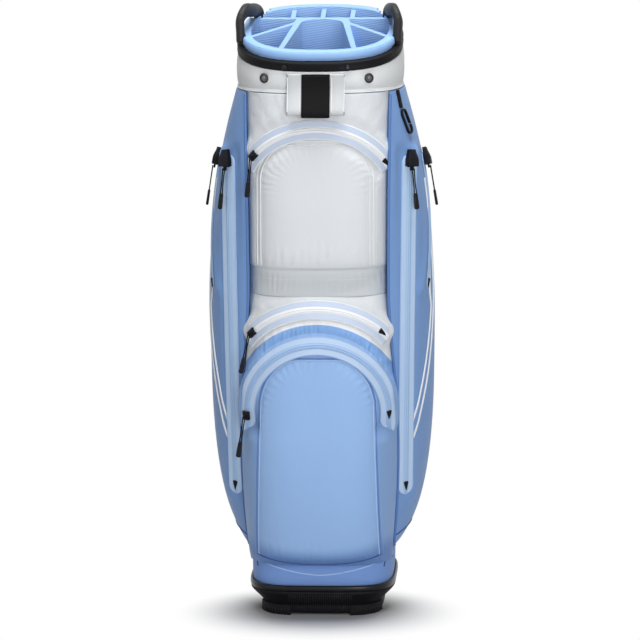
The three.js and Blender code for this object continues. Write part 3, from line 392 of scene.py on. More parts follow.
mouldedBlue = mouldedPlastic("mouldedBlue", colours["dividerBlue"], 0.6, 0.00008, 700, 0.04,
                             (0.12, 0.1, 1, 0.0026, 0.00016))
rollBlue = mouldedPlastic("rollBlue", colours["rollBlue"], 0.5, 0.00007, 800, 0.04)
snapMetal = brushedMetal("snapMetal", (104, 104, 107), 0.3)
snapDark = brushedMetal("snapDark", (62, 62, 64), 0.35)
stayFibre = mouldedPlastic("stayFibre", (58, 61, 66), 0.5)
threadWhite = mouldedPlastic("threadWhite", (228, 232, 236), 0.7, 0.0001, 1200, 0.02)
threadBlue = mouldedPlastic("threadBlue", (138, 170, 216), 0.7, 0.0001, 1200, 0.02)
pipingWhite = mouldedPlastic("pipingWhite", (226, 229, 231), 0.5, 0.00005, 900, 0.02)
pipingBlue = mouldedPlastic("pipingBlue", (93, 131, 190), 0.45, 0.00005, 900, 0.02)
pipingPale = mouldedPlastic("pipingPale", (168, 196, 236), 0.45, 0.00005, 900, 0.02)
# The pocket welt's deep blue is painted shade along the side panel's front edge.
weltBlue = mouldedPlastic("weltBlue", (92, 128, 186), 0.6, 0.00005, 900, 0.02, specular=0.1)
seamBlue = mouldedPlastic("seamBlue", (62, 90, 142), 0.6, 0.00005, 900, 0.02, specular=0.1)
ribBlack = mouldedPlastic("ribBlack", (34, 32, 37), 0.5, 0.00005, 900, 0.02, specular=0.1)
print("finishes made:", len(bpy.data.materials))


# Shapes: plans, paths and pieces.

def curveThrough(stops):
    slopes = []
    for i in range(len(stops)):
        low, high = stops[max(i - 1, 0)], stops[min(i + 1, len(stops) - 1)]
        slopes.append((high[1] - low[1]) / (high[0] - low[0]))

    def read(at):
        at = min(max(at, stops[0][0]), stops[-1][0])
        i = next((k for k in range(1, len(stops)) if stops[k][0] >= at), len(stops) - 1)
        (a, low), (b, high) = stops[i - 1], stops[i]
        span = b - a
        t = (at - a) / span
        first = (1 + 2 * t) * (1 - t) ** 2 * low + t * (1 - t) ** 2 * span * slopes[i - 1]
        return first + t * t * (3 - 2 * t) * high + t * t * (t - 1) * span * slopes[i]
    return read


def mix(a, b, t):
    return a + (b - a) * t


def ease(t):
    t = min(max(t, 0), 1)
    return t * t * (3 - 2 * t)


def signed(value, power):
    return math.copysign(abs(value) ** power, value)


# A ring of offsets for a rounded section: a power of 1 is an ellipse and less is squarer.
def sectionRing(count, powerA, powerB):
    turns = [math.tau * i / count for i in range(count)]
    return [(signed(math.cos(a), powerA), signed(math.sin(a), powerB)) for a in turns]


# A plan is (half width, half depth, squareness).
tube = {"foot": 34, "rim": 806, "footWidth": 104.5, "footDepth": 115, "topWidth": 117, "topDepth": 113,
        "footSquare": 4, "topSquare": 2.6, "tilt": 13, "cuff": 4, "collar": 13}
rimSlope = math.tan(math.radians(tube["tilt"]))
clearance = 0.3
clothGap = 0.6


def grown(plan, out):
    return (plan[0] + out, plan[1] + out, plan[2])


def tubePlan(z):
    t = (z - tube["foot"]) / (tube["rim"] - tube["foot"])
    return (mix(tube["footWidth"], tube["topWidth"], t), mix(tube["footDepth"], tube["topDepth"], t),
            mix(tube["footSquare"], tube["topSquare"], min(t, 1)))


def topPlan(out):
    return grown((tube["topWidth"], tube["topDepth"], tube["topSquare"]), out)


def depthAt(plan, x):
    share = min(abs(x) / plan[0], 1)
    return plan[1] * (1 - share ** plan[2]) ** (1 / plan[2])


def widthAt(plan, y):
    return depthAt((plan[1], plan[0], plan[2]), y)


def planPoint(plan, angle):
    c, s = math.cos(angle), math.sin(angle)
    reach = ((abs(c) / plan[0]) ** plan[2] + (abs(s) / plan[1]) ** plan[2]) ** (-1 / plan[2])
    return (reach * c, reach * s)


def planNormal(plan, x, y):
    power = plan[2] - 1
    across, along = signed(x, power) / plan[0] ** plan[2], signed(y, power) / plan[1] ** plan[2]
    return Vector((across, along, 0)).normalized()


def rimHeight(y):
    return tube["rim"] + rimSlope * (y + tube["topDepth"] + tube["cuff"])


def mirrorPoint(p, side):
    return Vector((p.x * side, p.y, p.z))


def makePiece(name, points, faces, finish, uvs=None):
    mesh = bpy.data.meshes.new(name)
    mesh.from_pydata([metres(p) for p in points], [], faces)
    if uvs:
        setUvs(mesh, uvs)
    mesh.materials.append(finish)
    mesh.polygons.foreach_set("use_smooth", [True] * len(mesh.polygons))
    mesh.update()
    return linked(name, mesh)


def setUvs(mesh, uvs):
    layer = mesh.uv_layers.get("cloth") or mesh.uv_layers.new(name="cloth")
    layer.data.foreach_set("uv", [c for loop in mesh.loops for c in uvs[loop.vertex_index]])


# The faces between rings of one width, whose first point has the number start.
def ringFaces(count, width, start=0, around=True, over=False, caps=True):
    faces = []
    for r in range(count if over else count - 1):
        here, after = start + r * width, start + (r + 1) % count * width
        for i in range(width if around else width - 1):
            j = (i + 1) % width
            faces.append((here + i, here + j, after + j, after + i))
    if caps:
        faces.append(tuple(range(start, start + width))[::-1])
        faces.append(tuple(range(start + (count - 1) * width, start + count * width)))
    return faces


def lengthsAlong(points):
    spans = [0.0]
    for a, b in zip(points, points[1:]):
        spans.append(spans[-1] + (Vector(b) - Vector(a)).length)
    return spans


# Rows of points to quads. Rows that run counter-clockwise from above and climb face outwards. Uvs that
# aren't given run along the cloth in metres.
def gridPiece(name, rows, finish, around=False, over=False, caps=False, uvs=None):
    if not uvs:
        runs = [lengthsAlong(row) for row in rows]
        rises = [lengthsAlong(column) for column in zip(*rows)]
        uvs = [(runs[r][i] / 1000, rises[i][r] / 1000) for r in range(len(rows)) for i in range(len(rows[0]))]
    faces = ringFaces(len(rows), len(rows[0]), 0, around, over, caps)
    return makePiece(name, [p for row in rows for p in row], faces, finish, uvs)


def turnOut(piece):
    with edited(piece.data) as shape:
        bmesh.ops.recalc_face_normals(shape, faces=shape.faces)


# A closed bar through rings of points.
def barPiece(name, rings, finish, uvs=None):
    piece = gridPiece(name, rings, finish, around=True, caps=True, uvs=uvs)
    turnOut(piece)
    return piece


# Several closed bars in one piece; each is (rings, number of its finish).
def barsPiece(name, bars, finishes):
    points, faces, kinds = [], [], []
    for rings, kind in bars:
        made = ringFaces(len(rings), len(rings[0]), len(points))
        points += [p for ring in rings for p in ring]
        faces += made
        kinds += [kind] * len(made)
    piece = makePiece(name, points, faces, finishes[0])
    for finish in finishes[1:]:
        piece.data.materials.append(finish)
    piece.data.polygons.foreach_set("material_index", kinds)
    turnOut(piece)
    return piece


def smoothByAngle(piece, angle):
    with edited(piece.data) as shape:
        for edge in shape.edges:
            edge.smooth = len(edge.link_faces) == 2 and edge.calc_face_angle(0) < math.radians(angle)
        for face in shape.faces:
            face.smooth = True


def bake(piece):
    graph = bpy.context.evaluated_depsgraph_get()
    made = bpy.data.meshes.new_from_object(piece.evaluated_get(graph))
    old = piece.data
    piece.modifiers.clear()
    piece.data = made
    made.name = piece.name
    if old.users == 0:
        bpy.data.meshes.remove(old)
    return piece


def finishWith(piece, kind, **settings):
    modifier = piece.modifiers.new(kind.title(), kind)
    for name, value in settings.items():
        setattr(modifier, name, value)
    return modifier


def subdivided(piece):
    finishWith(piece, "SUBSURF", levels=1, render_levels=1)
    return bake(piece)


def thicken(piece, wall):
    finishWith(piece, "SOLIDIFY", thickness=wall / 1000, offset=-1, use_rim=True, use_even_offset=False)
    return subdivided(piece)


def settle(piece, body, slot, *stoodFor):
    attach(piece, body)
    if stoodFor:
        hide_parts(*stoodFor)
    return piece


def resample(points, count):
    spans = lengthsAlong(points)
    made, i = [], 0
    for k in range(count):
        want = spans[-1] * k / (count - 1)
        while i < len(points) - 2 and spans[i + 1] < want:
            i += 1
        t = (want - spans[i]) / max(spans[i + 1] - spans[i], 1e-9)
        made.append(Vector(points[i]).lerp(Vector(points[i + 1]), min(max(t, 0), 1)))
    return made


# Node groups that resample the path they are given. shapeOf makes their geometry from the even path: a round
# cord, or an item repeated along it.
def pathTree(name, inputs, shapeOf):
    tree = bpy.data.node_groups.new(name, "GeometryNodeTree")
    sockets = {}
    for label, kind in {"Geometry": "Geometry", **inputs, "Spacing": "Float", "Finish": "Material"}.items():
        made = tree.interface.new_socket(label, in_out="INPUT", socket_type=f"NodeSocket{kind}")
        sockets[label] = made.identifier
    tree.interface.new_socket("Geometry", in_out="OUTPUT", socket_type="NodeSocketGeometry")
    given = addNode(tree, "NodeGroupInput").outputs
    line = addNode(tree, "GeometryNodeMeshToCurve", (), {"Mesh": given["Geometry"]})
    even = addNode(tree, "GeometryNodeResampleCurve", {"mode": "LENGTH"},
                   {"Curve": line.outputs[0], "Length": given["Spacing"]})
    shape = shapeOf(tree, given, even.outputs[0])
    real = addNode(tree, "GeometryNodeRealizeInstances", (), {"Geometry": shape.outputs[0]})
    done = addNode(tree, "GeometryNodeSetMaterial", (),
                   {"Geometry": real.outputs[0], "Material": given["Finish"]})
    addNode(tree, "NodeGroupOutput", (), {"Geometry": done.outputs[0]})
    return tree, sockets


def cordShape(tree, given, line):
    ring = addNode(tree, "GeometryNodeCurvePrimitiveCircle", (), {"Resolution": 8, "Radius": given["Radius"]})
    swept = addNode(tree, "GeometryNodeCurveToMesh", (),
                    {"Curve": line, "Profile Curve": ring.outputs[0], "Fill Caps": True})
    return addNode(tree, "GeometryNodeSetShadeSmooth", (), {"Geometry": swept.outputs[0]})


def rowShape(tree, given, line):
    along = addNode(tree, "GeometryNodeInputTangent")
    outward = addNode(tree, "GeometryNodeInputNamedAttribute", {"data_type": "FLOAT_VECTOR"},
                      {"Name": "outward"})
    turn = addNode(tree, "FunctionNodeAxesToRotation", {"primary_axis": "X", "secondary_axis": "Z"},
                   {"Primary Axis": along.outputs[0], "Secondary Axis": outward.outputs[0]})
    item = addNode(tree, "GeometryNodeObjectInfo", {"transform_space": "ORIGINAL"}, {"Object": given["Item"]})
    return addNode(tree, "GeometryNodeInstanceOnPoints", (), {
        "Points": line, "Instance": item.outputs["Geometry"], "Rotation": turn.outputs[0]})


cordTree = pathTree("pipingAlongPath", {"Radius": "Float"}, cordShape)
rowTree = pathTree("itemsAlongPath", {"Item": "Object"}, rowShape)


# Each path is a list of (point, outward) in millimetres; all the paths of one call make one piece.
def alongPaths(name, paths, tree, spacing, finish, closed=False, **values):
    points, edges, outward = [], [], []
    for path in paths:
        start = len(points)
        for point, away in path:
            points.append(metres(point))
            outward.extend(away)
        edges += [(start + i, start + i + 1) for i in range(len(path) - 1)]
        if closed:
            edges.append((start + len(path) - 1, start))
    mesh = bpy.data.meshes.new(name)
    mesh.from_pydata(points, edges, [])
    mesh.attributes.new("outward", "FLOAT_VECTOR", "POINT").data.foreach_set("vector", outward)
    piece = linked(name, mesh)
    modifier = piece.modifiers.new("Made", "NODES")
    modifier.node_group, sockets = tree
    for label, value in {**values, "Spacing": spacing / 1000, "Finish": finish}.items():
        modifier[sockets[label]] = value
    bake(piece)
    left = piece.data.attributes.get("outward")
    if left:
        piece.data.attributes.remove(left)
    return piece


def piping(name, paths, radius, finish, closed=False):
    return alongPaths(name, paths, cordTree, 3.0, finish, closed, Radius=radius / 1000)


def rowOf(name, paths, item, spacing, finish):
    return alongPaths(name, [path for path in paths if len(path) > 2], rowTree, spacing, finish, Item=item)


def lump(name, length, width, height, prism=True):
    mesh = bpy.data.meshes.new(name)
    with edited(mesh, fresh=True) as shape:
        if prism:
            bmesh.ops.create_cone(shape, cap_ends=True, segments=8, radius1=0.5, radius2=0.5, depth=1)
        else:
            bmesh.ops.create_uvsphere(shape, u_segments=6, v_segments=4, radius=0.5)
        shape.transform(Matrix.Rotation(math.pi / 2, 4, "X" if prism else "Y"))
        shape.transform(Matrix.Diagonal((length / 1000, width / 1000, height / 1000, 1)))
    mesh.polygons.foreach_set("use_smooth", [True] * len(mesh.polygons))
    return bpy.data.objects.new(name, mesh)


stitch = lump("stitchItem", 2.6, 0.75, 0.6, prism=False)
stitchSpacing = 3.6
uprightRib = lump("uprightRibItem", 1.1, 10, 1.3)
baseRib = lump("baseRibItem", 1.5, 11, 1.6)
slopedRib = lump("slopedRibItem", 1.5, 19, 1.6)
footRib = lump("footRibItem", 2.2, 8, 2.0)


# A CAD part that keeps its shape: a merged copy with rounded edges.
def roundedCopy(node, name, body, slot, finish, radius=0.6, segments=2, angle=32):
    mesh = nodes[node].data.copy()
    with edited(mesh) as shape:
        bmesh.ops.remove_doubles(shape, verts=shape.verts, dist=2e-6)
        bmesh.ops.dissolve_degenerate(shape, edges=shape.edges, dist=1e-6)
        bmesh.ops.dissolve_limit(shape, angle_limit=math.radians(0.6), verts=shape.verts, edges=shape.edges)
    mesh.materials.clear()
    mesh.materials.append(finish)
    piece = linked(name, mesh)
    finishWith(piece, "BEVEL", width=radius / 1000, segments=segments, limit_method="ANGLE",
               angle_limit=math.radians(angle), harden_normals=False, use_clamp_overlap=True)
    finishWith(piece, "TRIANGULATE")
    bake(piece)
    smoothByAngle(piece, 38)
    return settle(piece, body, slot, node)


# Zips: each track is an arc, so its frames turn about the arc's centre.

class ZipLine:
    def __init__(self, start, middle, end, normal):
        start, middle, end = Vector(start), Vector(middle), Vector(end)
        a, b = start - end, middle - end
        self.axis = (middle - start).cross(end - middle).normalized()
        across = a.cross(b)
        towards = b * a.length_squared - a * b.length_squared
        self.centre = towards.cross(across) / (2 * across.length_squared) + end
        self.middle = middle
        self.spoke = middle - self.centre
        self.radius = self.spoke.length
        self.travel = self.axis.cross(self.spoke).normalized()
        normal = Vector(normal)
        self.outward = (normal - self.travel * normal.dot(self.travel)).normalized()
        self.side = self.travel.cross(self.outward)
        self.begin, self.end = self.angleTo(start), self.angleTo(end)
        self.length = (self.end - self.begin) * self.radius

    def angleTo(self, point):
        arm = point - self.centre
        return math.atan2(arm.dot(self.travel), arm.dot(self.spoke) / self.radius)

    def frame(self, angle):
        basis = Matrix((self.side, self.travel, self.outward)).transposed().to_4x4()
        basis.translation = self.middle
        turn = Matrix.Rotation(angle, 4, self.axis)
        return Matrix.Translation(self.centre) @ turn @ Matrix.Translation(-self.centre) @ basis

    def away(self, angle):
        return Matrix.Rotation(angle, 3, self.axis) @ self.outward

    def place(self, across, further, out, angle):
        return self.frame(angle + further / self.radius) @ Vector((across, 0, out))

    # A point's angle, and how far across and out of the track it lies.
    def read(self, point):
        angle = self.angleTo(point)
        turn = Matrix.Rotation(-angle, 4, self.axis)
        back = turn @ (point - self.centre) + self.centre - self.middle
        return angle, back.dot(self.side), back.dot(self.outward)

    # How far an angle lies beyond either end.
    def past(self, angle):
        return max(self.begin - angle, angle - self.end, 0) * self.radius


pocketTop = 773.7
pocketEdge = curveThrough([[80, 104.5], [200, 113], [300, 113.5], [400, 106], [480, 101], [773.7, 104]])
upperShape = {"foot": 479, "top": pocketTop, "bulge": 30, "swell": curveThrough([
    [0, .6], [.1, .45], [.135, .52], [.15, .9], [.2, .99], [.28, .95], [.42, .85], [.58, .69], [.75, .5],
    [.83, .4], [.9, .27], [1, .14]])}
ballShape = {"foot": 80, "top": 478.7, "bulge": 69, "swell": curveThrough([
    [0, .28], [.04, .62], [.1, .84], [.18, .95], [.3, 1], [.43, .985], [.55, .92], [.68, .82], [.79, .71],
    [.84, .66], [.91, .57], [.965, .46], [1, .28]])}
sideShape = {"foot": 92, "top": pocketTop, "bulge": 55.6, "frontBulge": 7, "square": 2.5, "backEdge": 72,
             "seam": 62, "swell": curveThrough([
                 [0, .03], [.022, .26], [.06, .52], [.12, .745], [.2, .9], [.3, .985], [.42, 1], [.54, .985],
                 [.65, .91], [.75, .8], [.84, .63], [.92, .4], [1, .12]])}
frontSpread, frontSquare = 8, 3.1


def frontPlan(shape, z):
    swell = shape["swell"]((z - shape["foot"]) / (shape["top"] - shape["foot"]))
    return (pocketEdge(z) + frontSpread, tubePlan(z)[1] + shape["bulge"] * swell, frontSquare)


def sidePlan(z):
    width, depth, square = tubePlan(z)
    swell = sideShape["swell"]((z - sideShape["foot"]) / (sideShape["top"] - sideShape["foot"]))
    return (width + sideShape["bulge"] * swell, depth + sideShape["frontBulge"] * min(1, 1.4 * swell),
            mix(square, sideShape["square"], min(1, 2 * swell)))


def archZip(shape, topZ, endZ, endX, lean):
    spot = [(x, -depthAt(frontPlan(shape, z), x), z) for x, z in ((-endX, endZ), (0, topZ), (endX, endZ))]
    lean = math.radians(lean)
    return ZipLine(*spot, (0, -math.cos(lean), math.sin(lean)))


def sideZip(spot):
    return ZipLine(*spot, planNormal(sidePlan(spot[1][2]), spot[1][0], spot[1][1]))


edgeSpots = [(132.5, 668), (129, 430), (125, 190)]
outerSpots = [(2, 662), (-22, 578), (-50, 492)]
zips = {"upper_zip": archZip(upperShape, 723, 683, 91, 8), "middle_zip": archZip(ballShape, 463, 425, 94, 14),
        "ball_zip": archZip(ballShape, 412, 306, 103, 14),
        "edge_zip": sideZip([(x, -depthAt(sidePlan(z), x), z) for x, z in edgeSpots]),
        "outer_zip": sideZip([(widthAt(sidePlan(z), y), y, z) for y, z in outerSpots])}
zipWidths = {"upper_zip": 28, "middle_zip": 28, "ball_zip": 28, "edge_zip": 28, "outer_zip": 20}
arches = {"upper_zip": 11, "middle_zip": 19, "ball_zip": 16}
zipPress = {"end": 13, "reach": 16, "sink": -0.5, "beside": 1.5, "after": 3, "depth": 40, "length": 60}


# Brings cloth near a zip down to its tape.
def pressedToZips(point, names):
    for name in names:
        line = zips[name]
        angle, across, out = line.read(point)
        past = line.past(angle)
        if abs(out) > zipPress["depth"] or past > zipPress["length"]:
            continue
        near = 1 - ease((abs(across) - zipWidths[name] / 2 - zipPress["beside"]) / zipPress["reach"])
        near *= 1 - ease((past - zipPress["end"] - zipPress["after"]) / zipPress["reach"])
        if near > 0:
            point = point + line.away(angle) * ((zipPress["sink"] - out) * near)
    return point


# How far a point lies from the nearest zip's tape.
def zipDistance(point, names):
    found = []
    for name in names:
        angle, across, _ = zips[name].read(point)
        found.append(math.hypot(max(abs(across) - zipWidths[name] / 2, 0),
                                max(zips[name].past(angle) - zipPress["end"], 0)))
    return min(found)


print("plans and zips ready:", ", ".join(zips))


# Padded cloth: pressure from inside, held at its seams, with a limit on how far it moves.

clothSettings = {"pressure": 4.0, "frames": 20, "cap": 4.5, "inward": 1.5}
clothForces = {"quality": 5, "mass": 0.25, "shear_stiffness": 4, "bending_stiffness": 0.25,
               "use_pressure": True}


def puff(piece, held, pressure, cap, inward, grow=0.0, stiffness=12):
    rest = [(v.co.copy(), v.normal.copy()) for v in piece.data.vertices]
    group = piece.vertex_groups.new(name="held")
    group.add(held, 1.0, "REPLACE")
    modifier = piece.modifiers.new("Puff", "CLOTH")
    settings = modifier.settings
    for name, value in clothForces.items():
        setattr(settings, name, value)
    settings.tension_stiffness = settings.compression_stiffness = stiffness
    settings.uniform_pressure_force = pressure
    settings.shrink_min = -grow
    settings.effector_weights.gravity = 0
    if held:
        settings.vertex_group_mass = "held"
    modifier.collision_settings.use_collision = False
    modifier.point_cache.frame_end = clothSettings["frames"] + 1
    for step in range(1, clothSettings["frames"] + 1):
        scene.frame_set(step)
    soft = piece.evaluated_get(bpy.context.evaluated_depsgraph_get()).data
    moved = [v.co.copy() for v in soft.vertices]
    piece.modifiers.clear()
    piece.vertex_groups.clear()
    for vertex, (start, normal), end in zip(piece.data.vertices, rest, moved):
        step = end - start
        if not all(math.isfinite(c) for c in step):
            step = Vector()
        if step.length > cap / 1000:
            step *= cap / 1000 / step.length
        out = step.dot(normal)
        if out < -inward / 1000:
            step += normal * (-inward / 1000 - out)
        vertex.co = start + step
    piece.data.update()
    scene.frame_set(1)
    most = max((v.co - a).length for v, (a, _) in zip(piece.data.vertices, rest)) * 1000
    print(f"{piece.name}: cloth settled, up to {most:.1f} mm")


# Cloth in rows is held at its border, along its zips and at its seams. border is the rows and the first
# and last columns that stay; near is the reach of zips and seams.
def heldVertices(piece, rows, zipNames, border, near, seams=()):
    width, (edge, first, last) = len(rows[0]), border
    held = []
    for v in piece.data.vertices:
        row, column = divmod(v.index, width)
        p = millimetres(v.co)
        loose = min(row - edge, len(rows) - 1 - edge - row, column - first, width - 1 - last - column)
        sewn = any(awayFrom((p.x, p.z), line) < near[1] for line in seams)
        if loose <= 0 or sewn or zipDistance(p, zipNames) < near[0]:
            held.append(v.index)
    return held


def awayFrom(point, line):
    best = math.inf
    for (ax, az), (bx, bz) in zip(line, line[1:]):
        dx, dz = bx - ax, bz - az
        t = ((point[0] - ax) * dx + (point[1] - az) * dz) / max(dx * dx + dz * dz, 1e-9)
        t = min(max(t, 0), 1)
        best = min(best, math.hypot(point[0] - ax - dx * t, point[1] - az - dz * t))
    return best


# Front pockets.

upperPanel = {"left": -82, "right": 77, "foot": 524, "top": 701, "corner": 46, "crown": 7, "flare": 0}
lowerPanel = {"left": -84, "right": 84, "foot": 97, "top": 394, "corner": 60, "crown": 10, "flare": 7}
secondCord = 5.5
footBow = {"half": 91, "drop": 13.8}
frontCloth = {"columns": 72, "step": 4.6, "wall": 1.4, "pipingSink": 1.1, "pipingReach": 4.2,
              "seamColumns": 5, "grow": 0.012, "closing": (0, 0.5, 0.9)}


# The seam round a pocket's panel: up one side, over the crown, and down the other.
def panelLine(panel):
    left, right, foot, top, corner, crown, flare = panel.values()
    rise = [(left - flare, foot), (left - flare * 0.45, mix(foot, top - corner, 0.55)), (left, top - corner)]
    for i in range(1, 14):
        c, s = math.cos(math.pi / 2 * i / 14), math.sin(math.pi / 2 * i / 14)
        rise.append((left + corner * (1 - c), top - crown - corner + corner * s + crown * s ** 2))
    middle, crest = (left + right) / 2, []
    for i in range(7):
        x = mix(left + corner, right - corner, i / 6)
        crest.append((x, top - crown + crown * (1 - ((x - middle) / (right - middle)) ** 2 * 0.35)))
    fall = [(left + right - x, z) for x, z in reversed(rise)]
    return [(p.x, p.y) for p in resample([Vector((x, z, 0)) for x, z in rise + crest + fall], 120)]


upperLine, lowerLine = panelLine(upperPanel), panelLine(lowerPanel)
footLine = [(x, lowerPanel["foot"] - footBow["drop"] * (1 - (abs(x) / footBow["half"]) ** 2))
            for x in range(-footBow["half"], footBow["half"] + 1, 7)]


# A row of cloth is closed towards the tube: its steps run from the inner row to the outer one.
def closingRows(outer, inner, steps):
    return [[a.lerp(b, t) for a, b in zip(inner, outer)] for t in steps]


def frontRows(shape, zipNames, extra):
    low, high = shape["foot"], shape["top"]
    count = round((high - low) / frontCloth["step"])
    levels = sorted(set([mix(low, high, i / count) for i in range(count + 1)] + extra))
    seamColumns = frontCloth["seamColumns"]
    rows = []
    for z in levels:
        plan, edge = frontPlan(shape, z), pocketEdge(z)
        dense = [edge * math.sin(math.pi / 2 * (i / 60 - 1)) for i in range(121)]
        arc = resample([(x, -depthAt(plan, x), z) for x in dense], frontCloth["columns"])
        back = [Vector((-edge, mix(-sideShape["seam"], arc[0].y, i / seamColumns), z))
                for i in range(seamColumns)]
        rows.append(back + [pressedToZips(p, zipNames) for p in arc]
                    + [mirrorPoint(p, -1) for p in reversed(back)])
    closing = []
    for row, z in ((rows[0], low), (rows[-1], high)):
        inner, reach = [], grown(tubePlan(z), clothGap)
        for p in row:
            y = -depthAt(reach, p.x) if abs(p.x) < reach[0] else 0
            inner.append(Vector((p.x, max(p.y, min(y, -1)), p.z)))
        closing.append(closingRows(row, inner, frontCloth["closing"]))
    return closing[0] + rows + closing[1][::-1]


def frontPocket(name, node, shape, zipNames, extra, finish, seams, slot):
    rows = frontRows(shape, zipNames, extra)
    piece = gridPiece(name, rows, finish)
    held = heldVertices(piece, rows, zipNames, (3, 5, 5), (2.5, 2.8), seams)
    puff(piece, held, clothSettings["pressure"], clothSettings["cap"], clothSettings["inward"],
         frontCloth["grow"])
    for v in piece.data.vertices:
        p = millimetres(v.co)
        if p.y < -sideShape["seam"] - 2:
            away = [awayFrom((p.x, p.z), line) / frontCloth["pipingReach"] for line in seams[:2]]
            v.co -= v.normal * (frontCloth["pipingSink"] / 1000
                                * min(sum(math.exp(-a ** 2) for a in away), 1))
    return settle(thicken(piece, frontCloth["wall"]), "bag", slot, node)


def surfaceOf(*pieces):
    return [BVHTree.FromPolygons([v.co for v in piece.data.vertices],
                                 [p.vertices for p in piece.data.polygons])
            for piece in pieces]


# The first (point, outward) of some surfaces that a ray meets, in millimetres.
def firstHit(trees, start, ray):
    hits = [tree.ray_cast(metres(start), ray) for tree in trees]
    hits = [hit for hit in hits if hit[0] is not None]
    if not hits:
        return None
    point, outward, _, _ = min(hits, key=lambda hit: hit[3])
    return (millimetres(point), outward)


def fromFront(trees, x, z):
    return firstHit(trees, (x, -400, z), Vector((0, 1, 0)))


def towards(trees, point, direction):
    return firstHit(trees, Vector(point) + Vector(direction) * 60, -Vector(direction))


# A path of hits lifted off the cloth, or mirrored to the left side. Misses are left out.
def laid(hits, lift=0.0, side=1):
    return [(mirrorPoint(p + out * lift, side), mirrorPoint(out, side)) for p, out in filter(None, hits)]


def laidOn(trees, line, lift):
    return laid([fromFront(trees, x, z) for x, z in line], lift)


def offsetLine(line, amount):
    made = []
    for i, (x, z) in enumerate(line):
        ax, az = line[max(i - 1, 0)]
        bx, bz = line[min(i + 1, len(line) - 1)]
        size = math.hypot(bx - ax, bz - az)
        made.append((x - (bz - az) / size * amount, z + (bx - ax) / size * amount))
    return made


creaseLevels = [508, 512, 515, 517.5, 519, 520.2, 521.4, 522.6, 524, 526]
upperSeams = [upperLine, offsetLine(upperLine, secondCord), [(-110, 521), (110, 521)],
              [(-110, 504), (110, 504)]]
upperPocket = frontPocket("upperPocketCloth", "upper_pocket", upperShape, ["upper_zip"], creaseLevels,
                          cloth["upper"], upperSeams, "white_cloth")
ballPocket = frontPocket("ballPocketCloth", "ball_pocket", ballShape, ["middle_zip", "ball_zip"],
                         [81, 83, 86], cloth["ball"], [lowerLine, footLine], "blue_cloth")
frontTrees = surfaceOf(upperPocket, ballPocket)
print("front pockets done")


# Side pockets.

sideCloth = {"columns": 60, "step": 6.0, "wall": 1.4, "seamColumns": 5, "pressureShare": 0.8, "grow": 0.01,
             "closing": (0, 0.55)}


def sideRows():
    low, high = sideShape["foot"], sideShape["top"]
    count = round((high - low) / sideCloth["step"])
    seamColumns, backX = sideCloth["seamColumns"], sideShape["backEdge"]
    rows = []
    for i in range(count + 1):
        z = mix(low, high, i / count)
        plan, edge = sidePlan(z), pocketEdge(z) + 0.3
        frontY, backY = -depthAt(plan, edge), depthAt(plan, backX)
        first, last = math.atan2(frontY, edge), math.atan2(backY, backX)
        arc = [planPoint(plan, mix(first, last, k / 160)) for k in range(161)]
        arc[0], arc[-1] = (edge, frontY), (backX, backY)
        line = resample([(x, y, z) for x, y in arc], sideCloth["columns"])
        seam = [Vector((edge, mix(-sideShape["seam"], frontY, k / seamColumns), z))
                for k in range(seamColumns)]
        tubeBack = depthAt(grown(tubePlan(z), clothGap), backX)
        back = [Vector((backX, mix(line[-1].y, tubeBack, k / 2), z)) for k in (1, 2)]
        rows.append(seam + [pressedToZips(p, ["edge_zip", "outer_zip"]) for p in line] + back)
    closing = []
    for row, z in ((rows[0], low), (rows[-1], high)):
        inner = []
        for p in row:
            x, y = planPoint(grown(tubePlan(z), clothGap), math.atan2(p.y, p.x))
            flat = Vector((x, y, p.z))
            inner.append(flat if flat.to_2d().length < p.to_2d().length else p.copy())
        closing.append(closingRows(row, inner, sideCloth["closing"]))
    return closing[0] + rows + closing[1][::-1]


def sidePocket():
    rows = sideRows()
    piece = gridPiece("apparelPocketClothRight", rows, cloth["side"])
    held = heldVertices(piece, rows, ["edge_zip", "outer_zip"], (2, 5, 2), (3, 0))
    pressure = clothSettings["pressure"] * sideCloth["pressureShare"]
    puff(piece, held, pressure, clothSettings["cap"], clothSettings["inward"], sideCloth["grow"])
    return thicken(piece, sideCloth["wall"])


def mirrored(piece, name):
    mesh = piece.data.copy()
    for v in mesh.vertices:
        v.co.x = -v.co.x
    mesh.flip_normals()
    return linked(name, mesh)


rightPocket = sidePocket()
leftPocket = mirrored(rightPocket, "apparelPocketClothLeft")
settle(rightPocket, "bag", "blue_cloth", "apparel_pocket_right")
settle(leftPocket, "bag", "blue_cloth", "apparel_pocket_left")
sideTrees = surfaceOf(rightPocket)
print("side pockets done")


# Tube, cuff, collar and base: closed loops carried round the bag.

ringAngles = [math.tau * i / 176 for i in range(176)]


# Each row is a function from an angle to a point; the rows run outside upwards, then inside downwards.
def ringPiece(name, rowMakers, finish, over=True, caps=False):
    rows = [[maker(angle) for angle in ringAngles] for maker in rowMakers]
    return gridPiece(name, rows, finish, around=True, over=over, caps=caps)


def onPlan(plan, height):
    def maker(angle):
        x, y = planPoint(plan, angle)
        return Vector((x, y, height(x, y)))
    return maker


# A point on the front or rear of a plan by its x, and the direction outwards there.
def onFace(plan, x, end, lift):
    y = end * depthAt(plan, x)
    return (Vector((x, y, rimHeight(y) + lift)), planNormal(plan, x, y))


tubeSettings = {"rows": 26, "wall": 2.2, "topGap": 0.4}


def tubeRow(t, inset):
    def maker(angle):
        rim = rimHeight(planPoint(topPlan(0), angle)[1])
        z = mix(tube["foot"], rim - tubeSettings["topGap"], t)
        return Vector((*planPoint(grown(tubePlan(z), -inset), angle), z))
    return maker


